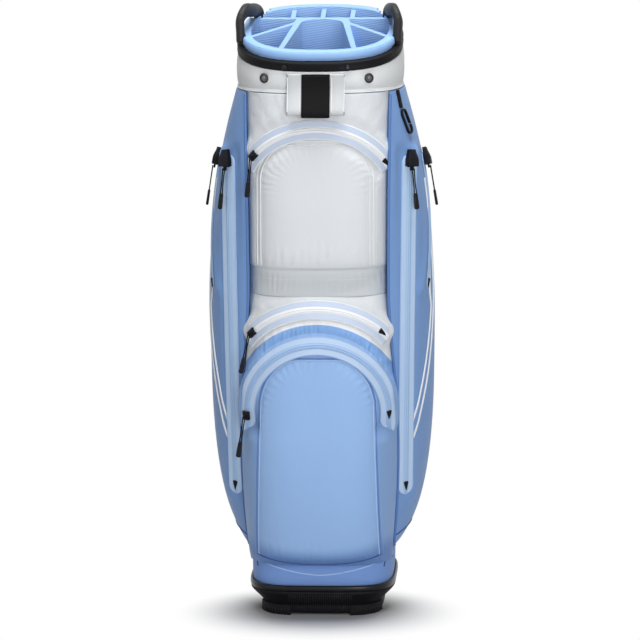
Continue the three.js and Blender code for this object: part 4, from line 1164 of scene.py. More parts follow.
climb = [i / tubeSettings["rows"] for i in range(tubeSettings["rows"] + 1)]
tubeRows = [tubeRow(t, 0) for t in climb] + [tubeRow(t, tubeSettings["wall"]) for t in reversed(climb)]
bodyTube = settle(ringPiece("bodyTubeCloth", tubeRows, cloth["tube"]), "bag", "blue_cloth", "body_tube")

# The cuff is padded: it swells between its hem and the collar, and dimples at the snaps.
cuffSettings = {"hem": 774.3, "topGap": 0.3, "swell": 1.7, "swellFrom": 7, "swellOver": 16, "swellTall": 20,
                "dimple": 2.0, "dimpleReach": 11, "snapX": 76, "drop": 14, "tuck": 1.2, "tuckHeight": 3.0}
hemRidges = [(1.0, 2.2, 2.0), (-0.9, 6.4, 1.6)]
cuffPlan = topPlan(tube["cuff"])


def snapSpots(lift):
    plan = grown(cuffPlan, lift)
    spots = [onFace(plan, side * cuffSettings["snapX"], end, -cuffSettings["drop"])[0]
             for end in (-1, 1) for side in (-1, 1)]
    return [(spot, planNormal(cuffPlan, spot.x, spot.y)) for spot in spots]


dimples = [spot for spot, _ in snapSpots(0)]


def hump(at, middle, half):
    return math.exp(-((at - middle) / half) ** 2)


def cuffRow(t, inside):
    def maker(angle):
        x, y = planPoint(cuffPlan, angle)
        top = rimHeight(y) - cuffSettings["topGap"]
        z = mix(cuffSettings["hem"], top, t)
        if inside:
            return Vector((*planPoint(grown(tubePlan(min(z, tube["rim"])), 0.5), angle), z))
        tall, point = top - cuffSettings["hem"], Vector((x, y, z))
        up, edge = t * tall, min(t, 1 - t) * tall
        inwards = min(1, max(edge - cuffSettings["swellFrom"], 0) / cuffSettings["swellOver"])
        puffed = cuffSettings["swell"] * inwards ** 0.6 if tall > cuffSettings["swellTall"] else 0
        near = min((point - spot).length for spot in dimples)
        puffed -= cuffSettings["dimple"] * hump(near, 0, cuffSettings["dimpleReach"])
        hem = sum(height * hump(up, middle, half) for height, middle, half in hemRidges)
        tuck = -cuffSettings["tuck"] * (1 - ease(up / cuffSettings["tuckHeight"]))
        return point + planNormal(cuffPlan, x, y) * (puffed + hem + tuck)
    return maker


cuffClimb = [0, 0.02, 0.04, 0.07, 0.1, 0.13, 0.16, 0.2, 0.25, 0.32, 0.4, 0.5, 0.6, 0.7, 0.8, 0.88, 0.94,
             0.98, 1]
cuffRows = [cuffRow(t, False) for t in cuffClimb] + [cuffRow(t, True) for t in (1, 0.5, 0)]
cuff = settle(ringPiece("topCuffPad", cuffRows, cloth["cuff"]), "bag", "white_cloth", "top_cuff")
cuffTrees = surfaceOf(cuff)

# The collar: (out, lift) from the rim.
collarProfile = [(2.2, 0.2), (3.6, 0.4), (4.4, 1.4), (4.7, 3.0), (4.2, 5.0), (4.2, 8.4), (4.7, 10.4),
                 (4.3, 12.0), (3.2, 12.8), (-3.4, 13.0), (-8.0, 13.0), (-8.9, 12.4), (-8.9, 0.8), (-8.2, 0.2)]
collarRibs = {"plan": topPlan(4.3), "half": 32, "lift": 6.6, "spacing": 2.6}


def rimRow(out, lift):
    return onPlan(topPlan(out), lambda x, y: rimHeight(y) + lift)


collar = ringPiece("topCollarRing", [rimRow(out, lift) for out, lift in collarProfile], matteBlack)
settle(collar, "bag", "black_plastic", "top_collar")
ribLine = [onFace(collarRibs["plan"], float(k), -1, collarRibs["lift"])
           for k in range(-collarRibs["half"], collarRibs["half"] + 1)]
settle(rowOf("topCollarRibs", [ribLine], uprightRib, collarRibs["spacing"], matteBlack), "bag",
       "black_plastic")

# The front lip of the divider is a soft roll from one handle to the other.
rollSettings = {"half": 6.4, "low": 13.4, "high": 26.6, "inset": -8.6, "steps": 90, "first": 198, "last": 342,
                "square": 0.62, "tip": 0.72, "tipStep": 0.14}


def rollPiece(name):
    tall, plan = rollSettings["high"] - rollSettings["low"], topPlan(rollSettings["inset"])
    square = rollSettings["square"]
    section = [(a * rollSettings["half"], b * tall / 2) for a, b in sectionRing(20, square, square)]
    rings = []
    for k in range(rollSettings["steps"] + 1):
        angle = math.radians(mix(rollSettings["first"], rollSettings["last"], k / rollSettings["steps"]))
        size = min(1, rollSettings["tip"] + rollSettings["tipStep"] * min(k, rollSettings["steps"] - k))
        x, y = planPoint(plan, angle)
        out = planNormal(plan, x, y)
        middle = Vector((x, y, rimHeight(y) + (rollSettings["high"] + rollSettings["low"]) / 2))
        rings.append([middle + out * (a * size) + Vector((0, 0, b * size + rimSlope * out.y * a))
                      for a, b in section])
    return settle(barPiece(name, rings, rollBlue), "bag", "divider_plastic")


rollPiece("dividerRollFront")
roundedCopy("divider_top", "dividerTopMoulding", "bag", "divider_plastic", mouldedBlue, 1.5, 3, 35)
print("top done")

baseSettings = {"width": 107.5, "depth": 118, "square": 4, "straight": 33, "foot": 16, "sideTaper": 17,
                "frontTaper": 9, "wall": 2.7, "ledge": 10}


def basePlan(z, out=0.0):
    t = min(max((baseSettings["straight"] - z) / (baseSettings["straight"] - baseSettings["foot"]), 0), 1)
    return grown((baseSettings["width"] - baseSettings["sideTaper"] * t,
                  baseSettings["depth"] - baseSettings["frontTaper"] * t, baseSettings["square"]), out)


def baseRow(z, out):
    return onPlan(basePlan(z, out), lambda x, y: z)


# The tub and its band: (height, out) from the base's plan.
ledge = -(baseSettings["wall"] + baseSettings["ledge"])
lowerRows = [(3.0, -1.2), (3.6, -0.3), (4.6, 0), (15.2, 0), (16.6, 0), (24, 0), (31.6, -0.1), (33.6, 0),
             (35.8, 0), (36.4, -0.5), (36.9, -0.5), (36.9, ledge), (34, ledge), (33, ledge), (16, ledge),
             (7, ledge)]
bandRows = [(37.2, -0.6), (37.6, 0.3), (38.4, 0.9), (41, 1.1), (44, 0.9), (45.4, 0.4), (46.2, -0.6),
            (46.2, -1.9), (45.6, -2.5), (37.4, -2.5), (37.2, -2.0)]
tub = ringPiece("baseTubShell", [baseRow(z, out) for z, out in lowerRows], matteBlack, over=False, caps=True)
settle(tub, "bag", "base_plastic", "base_tub", "base_floor")
band = ringPiece("baseTubBand", [baseRow(z, out) for z, out in bandRows], glossBlack)
settle(band, "bag", "base_plastic")

# Upright ribs in front and behind, low on the tub and on its sloped wall, and on the front feet.
ribSettings = {"half": 46, "low": 10, "high": 24.6, "spacing": 3.1, "footLow": 7.5, "footFrom": 48,
               "footTo": 84, "footSpacing": 5.0}


def ribsAcross(z, turn):
    return [[(Vector((k, side * depthAt(basePlan(z), k), z)),
              Vector((0, side * math.cos(turn), -math.sin(turn))))
             for k in range(-ribSettings["half"], ribSettings["half"] + 1, 2)] for side in (-1, 1)]


wallSlope = math.atan2(baseSettings["frontTaper"], baseSettings["straight"] - baseSettings["foot"])
lowRibs = rowOf("baseTubRibs", ribsAcross(ribSettings["low"], 0), baseRib, ribSettings["spacing"], ribBlack)
settle(lowRibs, "bag", "base_plastic")
highRibs = rowOf("baseSlopedRibs", ribsAcross(ribSettings["high"], wallSlope), slopedRib,
                 ribSettings["spacing"], ribBlack)
settle(highRibs, "bag", "base_plastic")
footRuns = []
for row in ("front", "rear"):
    for side, sign in (("left", -1), ("right", 1)):
        foot = roundedCopy(f"foot_{row}_{side}", f"foot{row.title()}{side.title()}Rubber", "bag",
                           "foot_rubber", rubberBlack, 0.6, 2)
        if row == "front":
            footTrees = surfaceOf(foot)
            footRuns.append(laid(fromFront(footTrees, sign * x, ribSettings["footLow"])
                                 for x in range(ribSettings["footFrom"], ribSettings["footTo"], 2)))
settle(rowOf("footRibs", footRuns, footRib, ribSettings["footSpacing"], ribBlack), "bag", "foot_rubber")
print("base done")


# Handles.

handleSettings = {"width": 13, "depth": 21, "rise": 46, "frontY": -32, "backY": 78, "rows": 44, "round": 24,
                  "square": 0.7, "endSize": 0.72, "first": 0.045, "last": 0.985, "groove": 0.07,
                  "grooveFrom": 0.3, "grooveTo": 0.72}


def catmull(points, t):
    count = len(points)
    p = (count - 1) * t
    i = min(int(p), count - 2)
    w = p - i
    p0 = points[i - 1] if i > 0 else points[0] * 2 - points[1]
    p1, p2 = points[i], points[i + 1]
    p3 = points[i + 2] if i + 2 < count else points[-1] * 2 - points[-2]
    dt0, dt1, dt2 = ((b - a).length_squared ** 0.25 for a, b in ((p0, p1), (p1, p2), (p2, p3)))
    t1 = ((p1 - p0) / dt0 - (p2 - p0) / (dt0 + dt1) + (p2 - p1) / dt1) * dt1
    t2 = ((p2 - p1) / dt1 - (p3 - p1) / (dt1 + dt2) + (p3 - p2) / dt2) * dt1
    return (p1 * (2 * w ** 3 - 3 * w ** 2 + 1) + p2 * (-2 * w ** 3 + 3 * w ** 2)
            + t1 * (w ** 3 - 2 * w ** 2 + w) + t2 * (w ** 3 - w ** 2))


def handlePath():
    frontY, backY = handleSettings["frontY"], handleSettings["backY"]

    def seat(y):
        return rimHeight(y) + tube["collar"] + clearance
    frontX = tube["topWidth"] - 2.5
    peak = seat(frontY) + handleSettings["rise"]
    middle = (frontY + backY) / 2
    backX = widthAt(topPlan(0), backY) - 1
    return [Vector(p) for p in (
        (frontX, frontY - 4, seat(frontY) - 6), (frontX + 0.5, frontY - 3, mix(seat(frontY), peak, 0.35)),
        (frontX + 1, frontY + 1, mix(seat(frontY), peak, 0.75)), (frontX - 5, frontY + 14, peak),
        (frontX - 12, middle - 8, peak + rimSlope * 6 - 3), (mix(frontX, backX, 0.8), middle + 26, peak - 4),
        (backX, backY - 6, seat(backY) + 10), (backX - 1, backY, seat(backY) - 8))]


# Every other ring is pressed in above and below, so that the grip is grooved.
def handlePiece(side, name, node):
    path, count = handlePath(), handleSettings["round"]
    section = sectionRing(count, handleSettings["square"], handleSettings["square"])
    pressed = [abs(math.sin(math.tau * i / count)) > 0.5 for i in range(count)]
    rings = []
    for k in range(handleSettings["rows"] + 1):
        t = mix(handleSettings["first"], handleSettings["last"], k / handleSettings["rows"])
        centre = catmull(path, t)
        along = (catmull(path, min(t + 0.002, 1)) - catmull(path, max(t - 0.002, 0))).normalized()
        outward = planNormal(topPlan(0), centre.x, centre.y)
        across = (outward - along * outward.dot(along)).normalized() * (handleSettings["width"] / 2)
        high = handleSettings["depth"] / 2 * mix(handleSettings["endSize"], 1, math.sin(math.pi * t))
        lift = along.cross(across).normalized() * high
        gripped = k % 2 == 0 and handleSettings["grooveFrom"] < t < handleSettings["grooveTo"]
        grooved = lift * (1 - handleSettings["groove"] * gripped)
        ring = [mirrorPoint(centre + across * a + (grooved if deep else lift) * b, side)
                for deep, (a, b) in zip(pressed, section)]
        rings.append(ring if side > 0 else ring[::-1])
    return settle(subdivided(barPiece(name, rings, gripBlack)), "bag", "black_plastic", node)


handlePiece(1, "handleRightGrip", "handle_right")
handlePiece(-1, "handleLeftGrip", "handle_left")


# Snaps, studs.

def lathe(name, profile, spots, finish, steps=28):
    bars = []
    for centre, out in spots:
        side = out.orthogonal().normalized()
        up = out.cross(side)
        spokes = [side * a + up * b for a, b in sectionRing(steps, 1, 1)]
        bars.append(([[centre + out * h + spoke * r for spoke in spokes] for r, h in profile], 0))
    piece = barsPiece(name, bars, [finish])
    smoothByAngle(piece, 50)
    return piece


snapNodes = ["hood_snap_front_left", "hood_snap_front_right", "hood_snap_rear_left", "hood_snap_rear_right"]
snapRing = [(7.2, -0.4), (7.3, 0.5), (6.9, 1.4), (6.0, 1.9), (5.0, 1.7), (4.6, 0.9), (4.5, 0.3)]
snapHead = [(4.3, 0.3), (4.4, 0.8), (3.2, 0.9), (2.9, 1.9), (2.5, 2.5), (1.6, 2.8), (0.4, 2.9)]
studProfile = [(3.4, -0.3), (4.2, 0.2), (4.3, 1.1), (3.6, 1.9), (2.4, 2.3), (0.3, 2.4)]
studSettings = {"x": 46, "out": 4.8, "lift": 4.7}
snaps = snapSpots(0.3)
settle(lathe("hoodSnapRings", snapRing, snaps, snapDark), "bag", "snap_metal", *snapNodes)
settle(lathe("hoodSnapHeads", snapHead, snaps, snapMetal), "bag", "snap_metal")
studs = [onFace(topPlan(studSettings["out"]), side * studSettings["x"], -1, studSettings["lift"])
         for side in (-1, 1)]
settle(lathe("collarStuds", studProfile, studs, glossBlack), "bag", "black_plastic", "collar_stud_left",
       "collar_stud_right")
print("handles and snaps done")


# Front lift handle.

liftSettings = {"width": 84, "thick": 3.5, "top": 803, "length": 58, "stand": 17, "web": 41, "webThick": 2,
                "rows": 26, "columns": 32, "footEdge": 0.35, "crown": 1.5, "cords": (-41, -22.6, 22.6, 41),
                "stitchIn": 3.2}
cuffFront = -(cuffPlan[1] + clearance)


def liftBack(t):
    return cuffFront - liftSettings["stand"] * ease(t) * t


def liftLevel(t):
    return mix(liftSettings["top"], liftSettings["top"] - liftSettings["length"], t)


def liftPad():
    half, thick, web = liftSettings["width"] / 2, liftSettings["thick"], liftSettings["web"] / 2
    rings = []
    for k in range(liftSettings["rows"] + 1):
        t = k / liftSettings["rows"]
        y, z = liftBack(t), liftLevel(t)
        end = min(1, liftSettings["footEdge"] + (liftSettings["rows"] - k) * 0.25)
        swell = liftSettings["crown"] * math.sin(math.pi * max(t, 0.02)) ** 0.3 * end
        front, back = [], []
        for i in range(liftSettings["columns"] + 1):
            x = mix(-half, half, i / liftSettings["columns"])
            side = thick * 0.5 * min(1, (half - abs(x)) / 3) ** 0.5 * end
            crown = swell * math.sin(math.pi * min(max((abs(x) - web - 1.5) / (half - web - 3), 0), 1))
            front.append(Vector((x, y - thick * 0.5 - side - crown, z)))
            back.append(Vector((x * (1 - 1e-4), y - thick * 0.5 + side, z)))
        rings.append(front + back[::-1])
    return barPiece("liftHandlePad", rings[::-1], cloth["pad"])


def heading(path, i):
    return (path[min(i + 1, len(path) - 1)] - path[max(i - 1, 0)]).normalized()


def strapAlong(name, path, width, thick, finish):
    side, rings = Vector((1, 0, 0)), []
    for i, p in enumerate(path):
        face = side.cross(heading(path, i)).normalized() * (thick / 2)
        halves = [(side * mix(-width / 2, width / 2, k / 12), face * (0.55 if k in (0, 12) else 1))
                  for k in range(13)]
        rings.append([p + a + b for a, b in halves] + [p + a - b for a, b in reversed(halves)])
    return barPiece(name, rings, finish)


# The webbing runs down the pad's front, round its foot and up behind it.
def liftWebPath():
    thick, web = liftSettings["thick"], liftSettings["webThick"] / 2
    front, turn = thick + 3 * clearance + web, thick / 2 + clearance + web
    path = [Vector((0, liftBack(i / 14) - front, liftLevel(i / 14))) for i in range(15)]
    for i in range(1, 8):
        a = math.pi * i / 8
        path.append(Vector((0, liftBack(1) - thick / 2 - turn * math.cos(a),
                            liftLevel(1) - turn * math.sin(a))))
    return path + [Vector((0, liftBack(t) + clearance + web + 0.2, liftLevel(t)))
                   for t in (1, 0.95, 0.9, 0.85, 0.8)]


pad = settle(liftPad(), "lift_handle", "white_cloth", "lift_handle_pad")
webbing = strapAlong("liftHandleWebbing", liftWebPath(), liftSettings["web"], liftSettings["webThick"],
                     webbingBlack)
settle(webbing, "lift_handle", "webbing", "lift_handle_webbing")
padTrees = surfaceOf(pad)
padLines = [laidOn(padTrees, [(x, liftLevel(k / 26)) for k in range(2, 25)], 0.1)
            for x in liftSettings["cords"]]
padStitches = [[(p + Vector((step * liftSettings["stitchIn"], 0, 0)), out) for p, out in line]
               for step, line in zip((1, -1, 1, -1), padLines)]
settle(piping("liftHandlePiping", padLines, 0.85, pipingWhite), "lift_handle", "white_cloth")
settle(rowOf("liftHandleStitches", padStitches, stitch, stitchSpacing, threadWhite), "lift_handle",
       "white_cloth")
print("lift handle done")


# Zips.

tails = {"upper_zip": (26, 26), "middle_zip": (20, 14), "ball_zip": (40, 40), "edge_zip": (12.6, 12.6),
         "outer_zip": (12.6, 12.6)}
stopStarts = {"upper_zip": 8, "middle_zip": -8, "ball_zip": -8, "edge_zip": -8, "outer_zip": -3}
zipSettings = {"step": 3.0, "slider": 13, "sliderTop": 6.9, "bail": 1.4, "cord": 0.9, "spacing": 4.2,
               "cordLength": 38, "pinch": 0.35, "sideLean": 9, "thread": 1.25}
gripSettings = {"length": 24, "over": 2, "width": 8.5, "thick": 4.5, "rows": 30, "roundEnd": 0.12,
                "neck": 0.8, "neckThick": 0.85, "ribs": 7, "ribDepth": 0.09, "ribFrom": 0.25, "ribTo": 0.9,
                "square": 0.75}
stopSettings = {"length": 14, "wide": 4.4, "tip": 1.0, "high": 4.1, "low": 2.9}
tapeProfile = [(1, 0.05), (1, 0.6), (0.93, 1.1), (0.8, 1.25), (0.4, 1.3), (0.24, 1.45), (0.17, 2.1),
               (0.1, 2.5), (0.035, 2.2), (0.0, 1.5)]
tapeEnds = {"slimBy": 0.9, "slimFrom": 8, "slimOver": 30, "lowBy": 0.8, "lowFrom": 22, "lowOver": 16,
            "tip": 0.12, "tipLow": 0.45}


# A tape and its closed teeth. The ball pocket's tape narrows into the seam, and the side tapes have round
# ends.
def zipTape(name, node, zipName, side=1):
    line, half, front = zips[zipName], zipWidths[zipName] / 2, zipName in arches
    rise = [(-share * half, out) for share, out in tapeProfile]
    section = rise + [(-x, out) for x, out in reversed(rise[:-1])] + [(half * k, 0.0) for k in (0.9, 0, -0.9)]
    before, after = tails[zipName]
    first, last = line.begin - before / line.radius, line.end + after / line.radius
    steps = max(24, round((last - first) * line.radius / zipSettings["step"]))
    outer = 1 if abs(line.place(5, 0, 0, line.begin).x) > abs(line.place(-5, 0, 0, line.begin).x) else -1
    rings, uvs = [], []
    for i in range(steps + 1):
        angle = mix(first, last, i / steps)
        past = line.past(angle)
        low, slim, aside = 1.0, 1.0, 0.0
        if zipName == "ball_zip":
            slim = 1 - tapeEnds["slimBy"] * ease((past - tapeEnds["slimFrom"]) / tapeEnds["slimOver"])
            aside = outer * half * (1 - slim)
            low = 1 - tapeEnds["lowBy"] * ease((past - tapeEnds["lowFrom"]) / tapeEnds["lowOver"])
        elif not front:
            run = min(max(past - before + half, 0) / half, 1)
            slim = max(math.sqrt(1 - run * run), tapeEnds["tip"])
            low = mix(tapeEnds["tipLow"], 1, slim)
        ring = []
        for x, out in section:
            p = line.place(x * slim + aside, 0, out * low, angle)
            if front:
                limit = pocketEdge(p.z) - 0.6
                p.x = min(max(p.x, -limit), limit)
            ring.append(mirrorPoint(p, side))
            uvs.append((x / 1000, (angle - line.begin) * line.radius / 1000))
        rings.append(ring)
    return settle(barPiece(name, rings, tapes[zipName], uvs), "bag", "zip_tape", node)


# A path along a tape, for its stitches; inset is what stays free at each end.
def onZip(zipName, across, inset, side=1):
    line = zips[zipName]
    count = max(2, math.ceil(line.length / zipSettings["step"]))
    made = []
    for angle in [mix(line.begin, line.end, i / count) for i in range(count + 1)]:
        if min(angle - line.begin, line.end - angle) * line.radius > inset - 0.001:
            p = line.place(across, 0, zipSettings["thread"], angle)
            made.append((mirrorPoint(p, side), mirrorPoint(line.away(angle), side)))
    return made


# A pull: two strands from the slider's bail to a moulded grip with finger ribs.
def zipPull(name, node, body, zipName, bailAt, lean, side=1):
    frameAt = zips[zipName].frame(zips[zipName].begin)
    radius, half, length = zipSettings["cord"], zipSettings["spacing"] / 2, zipSettings["cordLength"]
    hook = frameAt @ Vector((0, bailAt, zipSettings["sliderTop"] + zipSettings["bail"] + clearance + radius))
    front = frameAt.to_3x3() @ Vector((0, 0, 1))
    front.z = 0
    front.normalize()
    up = Matrix.Rotation(-math.radians(lean), 3, Vector((-front.y, front.x, 0))) @ Vector((0, 0, 1))
    across = up.cross(front).normalized()
    out = across.cross(up)

    def put(x, y, z):
        return mirrorPoint(hook + across * x + up * y + out * z, side)

    strand = [(half * (1 - zipSettings["pinch"] * math.sin(math.pi * i / 12)), -length * i / 12, 0)
              for i in range(1, 13)]
    arch = [(half * math.sin(a), -radius * (1 - 0.6 * math.cos(a)), 0)
            for a in (math.pi * (i / 6 - 0.5) for i in range(7))]
    loop = [Vector(p) for p in [(-x, y, z) for x, y, z in reversed(strand)] + arch + strand]
    cord = []
    for i, p in enumerate(loop):
        wide = heading(loop, i).cross(Vector((0, 0, 1)))
        cord.append([put(*(p + (wide * a + Vector((0, 0, b))) * radius)) for a, b in sectionRing(8, 1, 1)])
    grip, square = [], gripSettings["square"]
    for i in range(gripSettings["rows"] + 1):
        t = i / gripSettings["rows"]
        edge = min(t, 1 - t) / gripSettings["roundEnd"]
        ends = math.sqrt(max(0.0, 1 - (1 - edge) ** 2)) if edge < 1 else 1
        rib = (0.5 + 0.5 * math.cos(math.tau * t * gripSettings["ribs"])) * gripSettings["ribDepth"]
        size = ends * (1 - rib * (gripSettings["ribFrom"] < t < gripSettings["ribTo"]))
        wide = max(gripSettings["width"] / 2 * mix(gripSettings["neck"], 1, ease(t * 1.6)) * size, 0.4)
        thick = max(gripSettings["thick"] / 2 * mix(gripSettings["neckThick"], 1, t) * size, 0.3)
        y = -length + gripSettings["over"] - gripSettings["length"] * t
        grip.append([put(a * wide, y, b * thick) for a, b in sectionRing(16, square, square)])
    piece = barsPiece(name, [(cord, 0), (grip, 1)], [cordBlack, pullBlack])
    return settle(piece, body, "black_plastic", node)


# The end stop: a dark tab over the lower end of the teeth.
def endStop(name, zipName, side=1):
    line, rings = zips[zipName], []
    for i in range(11):
        t = i / 10
        half = mix(stopSettings["wide"], stopSettings["tip"], t ** 1.3) * (0.5 if i == 0 else 1)
        high = mix(stopSettings["high"], stopSettings["low"], t) * (0.85 if i in (0, 10) else 1) - 1
        further = stopStarts[zipName] + stopSettings["length"] * t
        section = [(c * half, 1 + (high * s ** 0.6 if s > 0 else s / 2)) for c, s in sectionRing(12, 1, 1)]
        rings.append([mirrorPoint(line.place(x, further, out, line.end), side) for x, out in section])
    return settle(barPiece(name, rings, matteBlack), "bag", "black_plastic")


bailSide = zipSettings["slider"] / 2 + 3 - 1
threads = {"white": [], "blue": []}
for zipName in zips:
    short, front = zipName.split("_")[0], zipName in arches
    half = zipWidths[zipName] / 2 - (1.1 if front else 1.2)
    inset = 6 if front else 0
    for side, place in [(1, "")] if front else [(1, "_right"), (-1, "_left")]:
        tag = place.strip("_").title()
        slider, pull = f"{zipName}_slider{place}", f"{zipName}_pull{place}"
        zipTape(f"{short}ZipTape{tag}", f"{zipName}_track{place}", zipName, side)
        roundedCopy(slider, f"{short}ZipSlider{tag}", slider, "black_plastic", pullBlack, 0.5, 2)
        if not front:
            roundedCopy(f"{zipName}_garage{place}", f"{short}ZipGarage{tag}", "bag", "black_plastic",
                        pullBlack, 1.1, 3, 28)
        zipPull(f"{short}ZipPull{tag}", pull, pull, zipName, 0 if front else bailSide,
                arches.get(zipName, zipSettings["sideLean"]), side)
        endStop(f"{short}ZipEnd{tag}", zipName, side)
        threads["white" if zipName in ("upper_zip", "middle_zip") else "blue"] += [
            onZip(zipName, across, inset, side) for across in (-half, half)]
print("zips done")


# Tether, clip and gate.

tetherSettings = {"x": 114.5, "drift": 5.5, "width": 9, "thick": 2, "length": 26}


def tetherPiece():
    top, rings = pocketTop - clearance, []
    for k in range(13):
        z = mix(top, top - tetherSettings["length"], k / 12)
        x = tetherSettings["x"] + tetherSettings["drift"] * k / 12
        plan = sidePlan(z)
        spot = Vector((x, -depthAt(plan, x), z))
        out = planNormal(plan, spot.x, spot.y)
        side = Vector((-out.y, out.x, 0)) * tetherSettings["width"]
        across = [spot + side * mix(-0.5, 0.5, i / 8) + out * clearance for i in range(9)]
        rings.append([p + out * (tetherSettings["thick"] * (0.7 if i in (0, 8) else 1))
                      for i, p in enumerate(across)] + across[::-1])
    return settle(barPiece("accessoryTetherWebbing", rings, webbingBlack), "bag", "webbing",
                  "accessory_tether")


tetherPiece()
roundedCopy("accessory_clip", "accessoryClipHook", "clip", "black_plastic", pullBlack, 0.7, 3, 30)
roundedCopy("clip_gate", "accessoryClipGate", "gate", "black_plastic", pullBlack, 0.4, 2)


# Shoulder strap.

strapSettings = {"padWidth": 62, "padThick": 12, "web": 38, "top": 742, "foot": 330, "bow": 15, "barStand": 9,
                 "bar": 2.5, "plate": 3, "anchorTop": 800, "anchorFoot": 288.4, "anchorHalf": 13,
                 "voxel": 0.0045, "rim": 29.4, "stitches": 24.5}
strapPuff = {"pressure": 3.0, "cap": 1.4, "inward": 1.0, "stiffness": 20}


# The webbing wraps both anchors' bars and bows away from the tube between them. The pad lies inside of it.
def strapPaths():
    turn = strapSettings["bar"] + clearance + liftSettings["webThick"] / 2

    def bar(back):
        return back + clearance + strapSettings["plate"] + strapSettings["barStand"]

    def wrap(height, back, sign):
        turns = [math.pi * i / 8 for i in range(9)]
        return [Vector((0, bar(back) + turn * math.cos(a), height + sign * turn * math.sin(a)))
                for a in turns]
    lowerBack = tubePlan(strapSettings["anchorFoot"] - strapSettings["anchorHalf"])[1]
    stand = bar(lowerBack) + turn
    middle = [Vector((0, stand + strapSettings["bow"] * math.sin(math.pi * i / 40),
                      mix(strapSettings["top"], strapSettings["foot"], i / 40))) for i in range(41)]
    upper = wrap(strapSettings["anchorTop"], cuffPlan[1], 1)[::-1]
    lower = wrap(strapSettings["anchorFoot"], lowerBack, -1)
    path = [upper[0] + Vector((0, 0, -6))] + upper + middle + lower + [lower[-1] + Vector((0, 0, 6))]
    shift = liftSettings["webThick"] / 2 + clearance + (strapSettings["padThick"] + 1) / 2
    return path, [p - Vector((0, shift, 0)) for p in middle[4:-4]]


webPath, padPath = strapPaths()
strapWeb = strapAlong("strapWebbing", webPath, strapSettings["web"], liftSettings["webThick"], webbingBlack)
settle(strapWeb, "bag", "webbing", "strap_webbing")


def strapPad():
    rings, last = [], len(padPath) - 1
    for i, p in enumerate(padPath):
        face = Vector((1, 0, 0)).cross(heading(padPath, i)).normalized()
        end = math.sqrt(1 - (1 - min(min(i, last - i) / 3, 1)) ** 2) * 0.85 + 0.15
        wide = (strapSettings["padWidth"] / 2 - 1.5) * end
        thick = (strapSettings["padThick"] / 2 - 1.2) * (0.5 + 0.5 * end)
        rings.append([p + Vector((a * wide, 0, 0)) + face * (b * thick)
                      for a, b in sectionRing(28, 0.35, 0.6)])
    piece = barPiece("strapPadCushion", rings, cloth["strap"])
    finishWith(piece, "REMESH", mode="VOXEL", voxel_size=strapSettings["voxel"])
    bake(piece)
    puff(piece, [], **strapPuff)
    mesh = subdivided(piece).data
    setUvs(mesh, [(v.co.x, v.co.z) for v in mesh.vertices])
    mesh.materials.clear()
    mesh.materials.append(cloth["strap"])
    mesh.polygons.foreach_set("use_smooth", [True] * len(mesh.polygons))
    settle(piece, "bag", "panel_cloth", "strap_pad")
    return piece


cushionTrees = surfaceOf(strapPad())
for name in ("upper", "lower"):
    roundedCopy(f"strap_anchor_{name}", f"strapAnchor{name.title()}", "bag", "black_plastic", matteBlack,
                0.8, 2)
edge = padPath[3:-3]
rims = [[(Vector((side * strapSettings["rim"], p.y, p.z)), Vector((side, 0, 0))) for p in edge]
        for side in (-1, 1)]
sewn = [laid([towards(cushionTrees, (side * strapSettings["stitches"], p.y, p.z), (0, 1, 0)) for p in edge])
        for side in (-1, 1)]
settle(piping("strapPadPiping", rims, 1.2, pipingBlue), "bag", "panel_cloth")
settle(rowOf("strapPadStitches", sewn, stitch, 3.8, threadBlue), "bag", "panel_cloth")
print("strap done")


# Seams: piping cord and stitches laid on the finished cloth. Cords are (line, lift off the cloth).

tubeTrees = surfaceOf(bodyTube)
frontCords = {"upperPanelPiping": ([(upperLine, 0.2), (offsetLine(upperLine, secondCord), 0.1)], 1.0,
                                   pipingWhite, "white_cloth"),
              "ballPanelPale": ([(offsetLine(lowerLine, -2.6), 0.0)], 0.9, pipingPale, "blue_cloth"),
              "ballPanelPiping": ([(lowerLine, 0.2)], 1.25, pipingBlue, "blue_cloth"),
              # The ball pocket's foot cord is a real seam. Its dark navy is painted shadow, for the shadow
              # line under the panel's overhang.
              "ballFootPiping": ([(footLine, 0.2)], 1.2, seamBlue, "blue_cloth")}
for name, (lines, radius, finish, slot) in frontCords.items():
    paths = [laidOn(frontTrees, line, lift) for line, lift in lines]
    settle(piping(name, paths, radius, finish), "bag", slot)
skirtHem = {"half": 36, "step": 2.9, "edge": 103, "low": 62, "rise": 24, "over": 104, "power": 1.6}
hemLine = []
for k in range(-skirtHem["half"], skirtHem["half"] + 1):
    x = k * skirtHem["step"]
    hemLine.append((min(max(x, -skirtHem["edge"]), skirtHem["edge"]),
                    skirtHem["low"] + skirtHem["rise"] * (abs(x) / skirtHem["over"]) ** skirtHem["power"]))
settle(piping("skirtHemPiping", [laidOn(tubeTrees, hemLine, 0.2)], 1.2, pipingPale), "bag", "blue_cloth")


def upperHem(lift, rise):
    spots = [planPoint(cuffPlan, angle) for angle in ringAngles]
    return laid([towards(cuffTrees, (x, y, cuffSettings["hem"] + rise), planNormal(cuffPlan, x, y))
                 for x, y in spots], lift)


settle(piping("cuffHemPiping", [upperHem(0.1, 1.6)], 1.0, pipingWhite, closed=True), "bag", "white_cloth")

# Stitches beside the seams
bandLine = [(x, 504) for x in range(-92, 93, 4)]
beside = [laidOn(frontTrees, line, 0.05)
          for line in (offsetLine(upperLine, -3.2), offsetLine(upperLine, 9), bandLine)]
beside += [upperHem(0.05, 7.6)] + threads["white"]
settle(rowOf("whiteStitches", beside, stitch, stitchSpacing, threadWhite), "bag", "white_cloth")
blueBeside = [laidOn(frontTrees, offsetLine(lowerLine, 3.6), 0.05)] + threads["blue"]
settle(rowOf("blueStitches", blueBeside, stitch, stitchSpacing, threadBlue), "bag", "blue_cloth")

